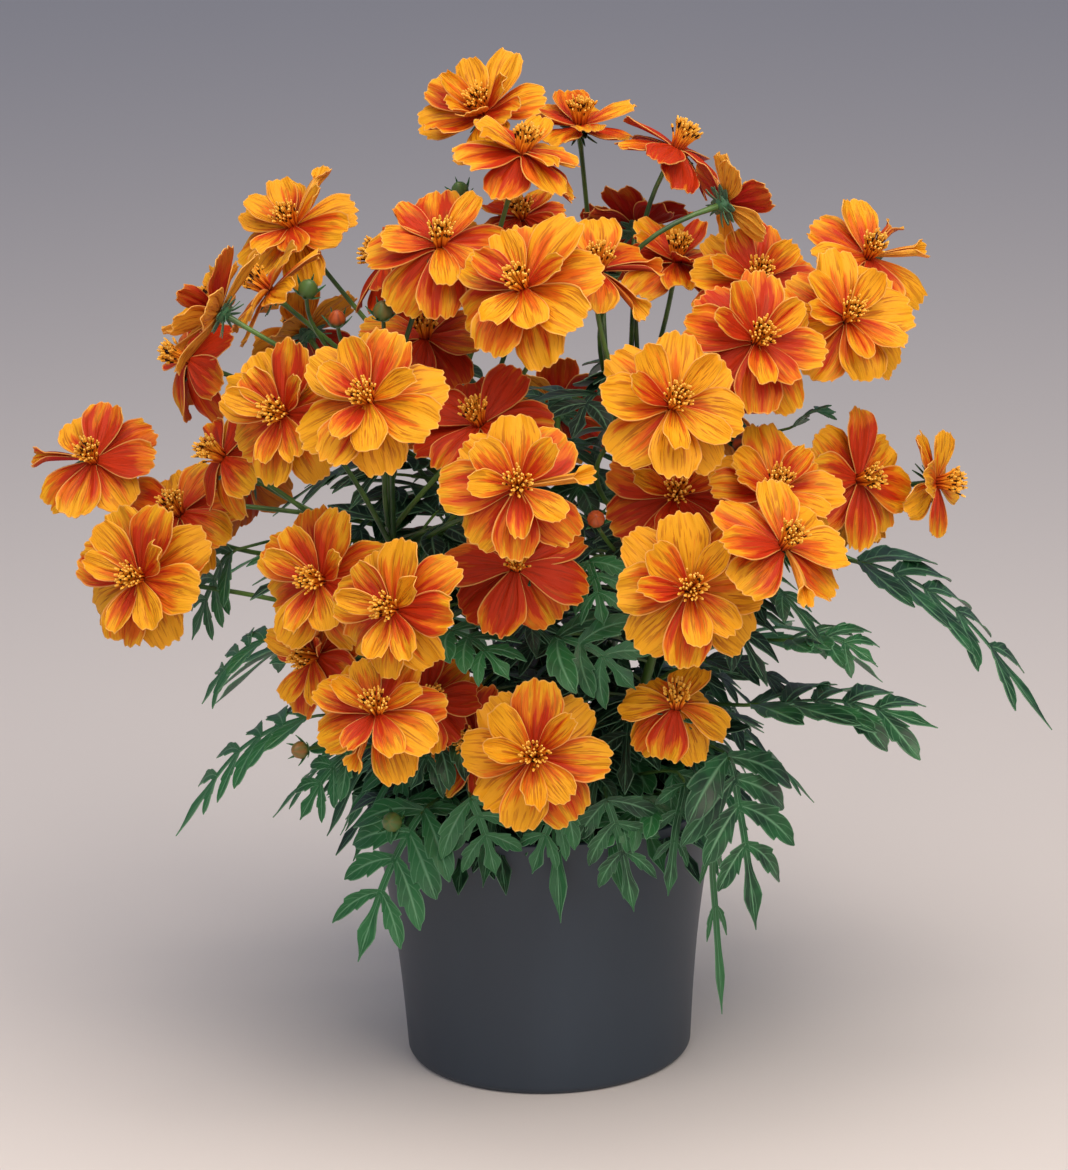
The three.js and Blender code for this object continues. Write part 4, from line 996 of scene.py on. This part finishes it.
def lobed_leaf(heap, finish, stalk_finish, route, width, pairs, tone, seed, broad, fine):
    """A leaf along its route: a bare round stalk, then a narrow winged rib that ends in a long
    point, with pairs of toothed lobes swept forwards. Broad is the lobes' half width as a share
    of their reach to the side, and fine gives them teeth."""
    draw = np.random.default_rng(300 + seed)
    table = np.linspace(0, 1, 81)
    line = spline(route, table)
    heading = unit((line[-1] - line[0]) * [1, 1, 0])
    side = np.cross(heading, UP)
    tangents = unit(np.gradient(line, axis=0))

    def at(shares):
        point = np.stack([np.interp(shares, table, line[:, axis]) for axis in range(3)], -1)
        tangent = unit(np.stack([np.interp(shares, table, tangents[:, axis]) for axis in range(3)], -1))
        level = unit(side - (tangent @ side)[:, None] * tangent)
        return point, tangent, level, np.cross(level, tangent)

    scale = width / 60
    stalk = at(np.linspace(0, LEAF_STALK_SHARE + 0.04, 7))[0]
    heap.add_rods(stalk[None], np.linspace(1.0, 0.7, 7)[None] * (0.6 + 0.4 * scale), 5, stalk_finish)
    rows, wing_rows, columns, teeth = (17, 29, 4, 3) if fine else (9, 13, 2, 0)
    shares = np.linspace(LEAF_STALK_SHARE, 1, wing_rows)
    part = (shares - LEAF_STALK_SHARE) / (1 - LEAF_STALK_SHARE)
    ending = smooth(part, 1 - LEAF_END_SHARE * 1.6, 1 - LEAF_END_SHARE * 0.6)
    wing = (1.5 + 3.6 * scale * ending) * (1 - smooth(part, 0.84, 1.0) ** 0.8) + 0.12
    heap.add_shells(blade_sheets(at(shares)[0][None], side, np.ones(1), wing, 0.2, columns),
                    LEAF_THICKNESS, finish, tone)

    gap = (1 - LEAF_STALK_SHARE) * (1 - LEAF_END_SHARE) / pairs
    count = np.arange(pairs)
    low = LEAF_STALK_SHARE + gap * count
    share = (count + 0.5) / pairs
    reach = width / 2 * np.where(count == 0, 0.9, 1.05 - 0.55 * share)
    roots = at(low + gap * 0.1)
    middles = at(low + gap * 0.5)
    t = np.linspace(0, 1, rows)
    spear = (0.4 + 0.6 * smooth(t, 0, 0.55)) * (1 - 0.95 * np.clip((t - 0.5) / 0.5, 0, 1) ** 1.9)
    for sign in (-1, 1):
        vary = draw.uniform(-1, 1, (5, pairs))
        long = reach * (1 + 0.12 * vary[0])
        sideways = middles[2] * (sign * long)[:, None]
        end = middles[0] + sideways + middles[1] * (long * (LOBE_SWEEP + 0.16 * vary[1]))[:, None] \
            - middles[3] * (long * (LOBE_DROOP + 0.12 * vary[2]))[:, None]
        knee = roots[0] + sideways * 0.55 + roots[1] * (long * 0.24)[:, None] \
            + roots[3] * (long * (0.08 + 0.06 * vary[3]))[:, None]
        paths = bezier(np.stack([roots[0], knee, end], axis=1), t)
        level = (-sign * middles[1])[:, None, :]
        half = reach * broad * (1 + 0.15 * vary[4])
        heap.add_shells(blade_sheets(paths, level, half, spear, 0.16, columns, teeth),
                        LEAF_THICKNESS, finish, tone)


def leaf_routes():
    """The routes of the leaves that the solid model has, each as (stem, route, width, pairs)."""
    routes = []
    placed = [(sight(*base), sight(*tip), *rest) for base, tip, *rest in FRONT_LEAVES]
    placed += [(np.array(base, float), np.array(tip, float), *rest) for base, tip, *rest in FAR_LEAVES]
    for base, tip, width, pairs, arch in placed:
        number = stem_of(base)
        stem = STEM_LINES[number]
        root = stem.at(np.clip(base[2] - LEAF_DROP, SOIL_TOP + STALK_LOWEST, stem.top - LEAF_DROP))
        middle = (base + tip) / 2 + UP * arch
        routes.append((number, np.array([root, base, middle, tip]), width, pairs))
    return routes


def in_a_bloom(points, blooms):
    """Whether any of the points lies in the flat room that a flower takes up."""
    for _, hub, axis, row in blooms:
        away = points - hub
        depth = away @ axis
        spread = np.linalg.norm(away - depth[:, None] * axis, axis=1)
        if np.any((spread < row.across * 0.53) & (depth > -9) & (depth < 13)):
            return True
    return False


def skirt_routes(count):
    """Routes of the short leaves that hang over the pot's rim all round, evenly but for a draw."""
    draw = np.random.default_rng(23)
    routes = []
    for step_round in range(count):
        angle = (step_round + draw.uniform(-0.3, 0.3)) * 2 * math.pi / count
        out = np.array([math.cos(angle), math.sin(angle), 0])
        number = stem_of(out * NEAR_STEMS_REACH * 1.6)
        base = out * draw.uniform(36, 46) + UP * draw.uniform(120, 130)
        tip = out * draw.uniform(82, 92) + UP * draw.uniform(84, 104)
        middle = (base + tip) / 2 + UP * draw.uniform(13, 20)
        root = STEM_LINES[number].at(draw.uniform(112, 120))
        routes.append((number, np.array([root, base, middle, tip]), draw.uniform(34, 46), 2))
    return routes


def inner_routes(count, blooms):
    """Routes of small leaves inside the plant: from a drawn height of a stem, out in a drawn
    direction, up a little and over. One that would enter a flower is drawn again."""
    draw = np.random.default_rng(41)
    routes = []
    while len(routes) < count:
        number = int(draw.integers(4))
        stem = STEM_LINES[number]
        root = stem.at(SOIL_TOP + 8 + (stem.top - SOIL_TOP - 14) * draw.random() ** 1.3)
        angle = draw.uniform(0, 2 * math.pi)
        out = np.array([math.cos(angle), math.sin(angle), 0])
        length = draw.uniform(38, 78)
        rise = draw.uniform(0.05, 0.4)
        fall = draw.uniform(-0.35, 0.1)
        base = root + (out * 0.36 + UP * rise * 0.6) * length
        tip = root + (out + UP * fall) * length
        middle = (base + tip) / 2 + UP * length * 0.1
        route = np.array([root, base, middle, tip])
        if tip[2] < POT_HEIGHT and np.hypot(*tip[:2]) < POT_RIM_RADIUS + 6:
            continue
        if in_a_bloom(spline(route, np.linspace(0.2, 1, 9)), blooms):
            continue
        routes.append((number, route, draw.uniform(30, 46), int(draw.integers(2, 4))))
    return routes


class CosmosMake:
    """What every operator here shares: it takes an undo step and shows in the search."""
    bl_options = {"REGISTER", "UNDO"}


class COSMOS_OT_pot(CosmosMake, bpy.types.Operator):
    """Makes the plastic pot"""
    bl_idname = "cosmos.pot"
    bl_label = "Pot"

    def execute(self, context):
        sizes = context.scene.cosmos_pot
        scale = sizes.rim_radius / (POT_RIM_RADIUS * MM)
        lip = POT_WALL / 2
        heights = np.linspace(POT_FOOT_ROUND, POT_HEIGHT - lip, 18)
        outside = np.stack([pot_radius(heights), heights], -1)
        foot = arc((POT_BASE_RADIUS - POT_FOOT_ROUND + 0.2, POT_FOOT_ROUND), POT_FOOT_ROUND, -90, 0, 8)
        rim = arc((POT_RIM_RADIUS - lip, POT_HEIGHT - lip), lip, 0, 180, 9)
        heights = np.linspace(POT_HEIGHT - lip, POT_FLOOR + 3, 12)[1:]
        inside = np.stack([pot_radius(heights) - POT_WALL, heights], -1)
        profile = np.vstack([[0, 0], foot, outside[1:], rim[1:], inside, [0, POT_FLOOR]])
        heap = Heap()
        points, faces = lathe(profile * [scale, 1], 128)
        heap.add(points, faces, 0)
        heap.piece("plastic_pot", [pot_material(sizes)], "pot", "pot", sharp=math.radians(35))
        return {"FINISHED"}


class COSMOS_OT_compost(CosmosMake, bpy.types.Operator):
    """Makes the compost with its crumbs"""
    bl_idname = "cosmos.compost"
    bl_label = "Compost"

    def execute(self, context):
        draw = np.random.default_rng(7)
        wall = pot_radius(SOIL_TOP) - POT_WALL - SOIL_GAP
        floor = pot_radius(POT_FLOOR) - POT_WALL - SOIL_GAP
        radii = np.linspace(wall, 1.5, 26)
        top = np.stack([radii, SOIL_TOP + SOIL_CROWN * (1 - (radii / wall) ** 2)], -1)
        side = [[floor, POT_FLOOR + 0.3], [pot_radius(70) - POT_WALL - SOIL_GAP, 70]]
        profile = np.vstack([[0, POT_FLOOR + 0.3], side, top, [0, SOIL_TOP + SOIL_CROWN]])
        relief = np.zeros((len(profile) - 2, 96))
        relief[3:] = draw.normal(0, 0.55, relief[3:].shape)
        heap = Heap()
        points, faces = lathe(profile, 96, relief)
        heap.add(points, faces, 0)
        spread = wall * 0.97 * np.sqrt(draw.random(CRUMBS))
        angle = draw.uniform(0, 2 * math.pi, CRUMBS)
        size = draw.uniform(0.6, 1.9, CRUMBS)
        centre = np.stack([spread * np.cos(angle), spread * np.sin(angle),
                           SOIL_TOP + SOIL_CROWN * (1 - (spread / wall) ** 2) + size * 0.3], -1)
        corners = np.array([[1, 0, 0], [0, 1, 0], [-1, 0, 0], [0, -1, 0], [0, 0, 1], [0, 0, -1]], float)
        crumbs = centre[:, None] + corners * size[:, None, None] * draw.uniform(0.6, 1.2, (CRUMBS, 6, 1))
        above = [[0, 1, 4], [1, 2, 4], [2, 3, 4], [3, 0, 4]]
        below = [[1, 0, 5], [2, 1, 5], [3, 2, 5], [0, 3, 5]]
        heap.add(crumbs, [np.array(above + below)], 0)
        heap.piece("compost", [compost_material()], "soil", "soil", sharp=math.radians(60))
        return {"FINISHED"}


class COSMOS_OT_shoots(CosmosMake, bpy.types.Operator):
    """Makes the four leafy shoots: stems, stalks, leaves and buds"""
    bl_idname = "cosmos.shoots"
    bl_label = "Leafy shoots"

    def execute(self, context):
        foliage = context.scene.cosmos_foliage
        finishes = [stalk_material(foliage), leaf_material(foliage), bud_material()]
        blooms = all_blooms()
        heaps = [Heap() for _ in STEMS]
        for stem, heap in zip(STEM_LINES, heaps):
            path = stem.path[::6]
            swell = 1 + 0.05 * np.sin(np.arange(len(path)) * 1.9)
            heap.add_rods(path[None], (STEM_RADIUS * np.linspace(1.12, 0.8, len(path)) * swell)[None], 12, 0)
        shares = np.linspace(0, 1, 19)
        thick = 0.92 + 0.25 * (1 - shares) ** 3 + 0.35 * smooth(shares, 0.93, 1)
        for number, hub, axis, row in blooms:
            path = stalk_path(hub, axis, number, HUB_CONE + LAYER_STEP, row.leave, row.bend, shares)
            heaps[stem_of(hub)].add_rods(path[None], (STALK_RADIUS * thick)[None], 8, 0)
        for number, (px, py, toward, yaw, rise, size, bend, ripe) in enumerate(BUDS):
            self.bud(heaps, number, sight(px, py, toward), facing(yaw, rise), size, bend, ripe, shares)
        # Each kind of leaf with how light it is painted, the lobes' breadth and whether they have teeth. The
        # inner leaves are painted darkest: painted shade for the inside of the plant
        growths = (
            (leaf_routes(), 0.62, 0.28, True),
            (skirt_routes(foliage.skirt_leaves), 0.72, 0.34, True),
            (inner_routes(foliage.inner_leaves, blooms), 0.0, 0.32, False),
        )
        seed = 0
        for routes, light, broad, fine in growths:
            for number, route, width, pairs in routes:
                tone = light + 0.4 * wobble(seed, 5)
                lobed_leaf(heaps[number], 1, 0, route, width, pairs, tone, seed, broad, fine)
                seed += 1
        for number, heap in enumerate(heaps, 1):
            heap.piece(f"shoot_{number}", finishes, "foliage", f"leafy_stem_{number}")
        return {"FINISHED"}

    def bud(self, heaps, number, centre, axis, size, bend, ripe, shares):
        """A bud on its stalk: an egg of ten sides, and six pointed bracts round its foot."""
        heap = heaps[stem_of(centre)]
        path = stalk_path(centre, axis, number + FIRST_BUD_SEED, 0, None, bend, shares)
        heap.add_rods(path[None], np.full((1, len(shares)), STALK_RADIUS * 0.8), 7, 0)
        half = size / 2
        part = np.linspace(0, 1, 9)
        line = centre + axis * (half * (-1.1 + 2.3 * part))[:, None]
        girth = half * np.maximum(np.sin(math.pi * (0.03 + 0.94 * part ** 0.9)) ** 0.75, 0.1)
        tone = ripe * np.where(np.arange(10) % 2, 1.0, 0.6)
        heap.add(rods(line[None], girth[None], 10), rod_faces(9, 10), 2,
                 along=np.repeat(part, 10), tone=np.tile(tone, 9))
        rows = basis(axis)
        turn = np.arange(6) * math.pi / 3 + number
        out = (np.cos(turn)[:, None] * rows[0] + np.sin(turn)[:, None] * rows[1])[:, None, :]
        spread = np.array([0.25, 1.15, 1.7])[:, None] * half
        height = np.array([-1.05, -0.5, 0.5])[:, None] * half
        path = bezier(centre + out * spread + axis * height, np.linspace(0, 1, 5))
        outline = np.array([0.6, 1.0, 0.8, 0.45, 0.06])
        sheets = blade_sheets(path, np.cross(out, axis), np.full(6, half * 0.22), outline, 0.1, 2)
        heap.add_shells(sheets, CUP_THICKNESS, 1, 0.6)


class COSMOS_OT_flowers(CosmosMake, bpy.types.Operator):
    """Makes every flower: petals, disc florets and the green cup"""
    bl_idname = "cosmos.flowers"
    bl_label = "Flowers"

    def execute(self, context):
        flowers = context.scene.cosmos_flowers
        leaf = bpy.data.materials.get("cosmos_leaf_blade") or leaf_material(context.scene.cosmos_foliage)
        finishes = [petal_material(flowers), floret_material(), leaf]
        for number, hub, axis, row in all_blooms():
            self.flower(number, hub, basis(axis), row, flowers, finishes)
        return {"FINISHED"}

    def flower(self, number, hub, rows, row, flowers, finishes):
        """One flower, made facing +Z and then turned and moved to its hub."""
        heap = Heap()
        petals = petals_of(number, row)
        outer = petals["base"] < 2 * LAYER_STEP
        for chosen, counts in ((outer, (PETAL_ROWS, PETAL_COLUMNS)), (~outer, (INNER_ROWS, INNER_COLUMNS))):
            if chosen.any():
                some = {name: values[chosen] for name, values in petals.items()}
                sheets = petal_sheets(some, flowers.pleat_depth / MM, *counts)
                heap.add_shells(sheets @ rows + hub, PETAL_THICKNESS, 0, some["tone"])
        paths, radii, along = floret_rods(number, flowers.disc_height / MM * math.sqrt(row.across / 56))
        heap.add(rods(paths, radii, 4) @ rows + hub, rod_faces(paths.shape[1], 4), 1,
                 along=np.repeat(along, 4, axis=-1))
        urn, bracts = cup_of(number)
        heap.add(urn @ rows + hub, rod_faces(4, 10), 2, across=0.5, tone=0.25, upper=1)
        for sheets in bracts:
            heap.add_shells(sheets @ rows + hub, CUP_THICKNESS, 2, 0.2)
        name = f"{number + 1:02d}"
        heap.piece(f"flower_{name}", finishes, "petals", f"bloom_{name}")


class COSMOS_OT_stage(CosmosMake, bpy.types.Operator):
    """Makes the floor, the lights and the camera"""
    bl_idname = "cosmos.stage"
    bl_label = "Stage"

    def execute(self, context):
        stage = context.scene.cosmos_stage
        scene = context.scene
        mesh = bpy.data.meshes.new("floor")
        corners = [(x * FLOOR_HALF, y * FLOOR_HALF, 0) for x, y in ((-1, -1), (1, -1), (1, 1), (-1, 1))]
        mesh.from_pydata(corners, [], [(0, 1, 2, 3)])
        mesh.materials.append(paper_material(stage))
        floor = bpy.data.objects.new("floor", mesh)
        scene.collection.objects.link(floor)
        plant = (0, 0, 0.2)
        self.light("key", (0.95, -1.15, 1.6), plant, 1.4, stage.key_power, "#FFEFDC")
        self.light("overhead", (-0.1, -0.7, 1.7), (-0.1, -0.7, 0), 1.8, stage.overhead_power, "#FFF1E2")
        self.light("front", (-0.8, -2.2, 0.7), plant, 1.2, stage.front_power, "#FFF6EE")
        world = bpy.data.worlds.new("studio")
        world.use_nodes = True
        world.node_tree.nodes["Background"].inputs["Color"].default_value = rgba("#CDD6F2")
        world.node_tree.nodes["Background"].inputs["Strength"].default_value = 0.34
        scene.world = world
        scene.view_settings.view_transform = "Standard"
        self.camera(scene)
        return {"FINISHED"}

    def light(self, name, place, target, size, power, colour):
        """A square soft light, aimed at its target."""
        data = bpy.data.lights.new(name, "AREA")
        data.size = size
        data.energy = power
        data.color = linear(colour)
        light = bpy.data.objects.new(name, data)
        light.location = place
        aim = Vector(target) - Vector(place)
        light.rotation_euler = aim.to_track_quat("-Z", "Y").to_euler()
        bpy.context.scene.collection.objects.link(light)

    def camera(self, scene):
        """The picture's camera: pitched down, then rolled clockwise about its own view."""
        right, above, ahead = camera_axes()
        level = right * math.cos(CAMERA_ROLL) - above * math.sin(CAMERA_ROLL)
        upright = right * math.sin(CAMERA_ROLL) + above * math.cos(CAMERA_ROLL)
        place = (np.array(CAMERA_TARGET) - ahead * CAMERA_DISTANCE) * MM
        data = bpy.data.cameras.new("camera")
        data.sensor_width = SENSOR_WIDTH
        data.lens = FOCAL_LENGTH / max(PICTURE_SIZE) * SENSOR_WIDTH
        camera = bpy.data.objects.new("camera", data)
        turned = np.stack([level, upright, -ahead], axis=1)
        camera.matrix_world = Matrix.Translation(place) @ Matrix(turned.tolist()).to_4x4()
        scene.collection.objects.link(camera)
        scene.camera = camera


class COSMOS_PT_panel(bpy.types.Panel):
    """The sidebar panel: sizes, colours and a button for each step"""
    bl_idname = "COSMOS_PT_panel"
    bl_label = "Potted Cosmos"
    bl_space_type = "VIEW_3D"
    bl_region_type = "UI"
    bl_category = "Cosmos"

    def draw(self, context):
        for group, operators in STEPS:
            box = self.layout.box()
            settings = getattr(context.scene, group)
            for name in settings.bl_rna.properties.keys():
                if name not in ("rna_type", "name"):
                    box.prop(settings, name)
            for operator in operators:
                box.operator(operator.bl_idname)


GROUPS = {
    "cosmos_pot": CosmosPot,
    "cosmos_foliage": CosmosFoliage,
    "cosmos_flowers": CosmosFlowers,
    "cosmos_stage": CosmosStage,
}
STEPS = (
    ("cosmos_pot", (COSMOS_OT_pot, COSMOS_OT_compost)),
    ("cosmos_foliage", (COSMOS_OT_shoots,)),
    ("cosmos_flowers", (COSMOS_OT_flowers,)),
    ("cosmos_stage", (COSMOS_OT_stage,)),
)
CLASSES = (*GROUPS.values(), *(operator for _, group in STEPS for operator in group), COSMOS_PT_panel)


def register():
    for cls in CLASSES:
        bpy.utils.register_class(cls)
    for name, group in GROUPS.items():
        setattr(bpy.types.Scene, name, PointerProperty(type=group))


def unregister():
    for name in GROUPS:
        delattr(bpy.types.Scene, name)
    for cls in reversed(CLASSES):
        bpy.utils.unregister_class(cls)


def main():
    register()
    for _, operators in STEPS:
        for operator in operators:
            module, name = operator.bl_idname.split(".")
            getattr(getattr(bpy.ops, module), name)()


if __name__ == "__main__":
    main()
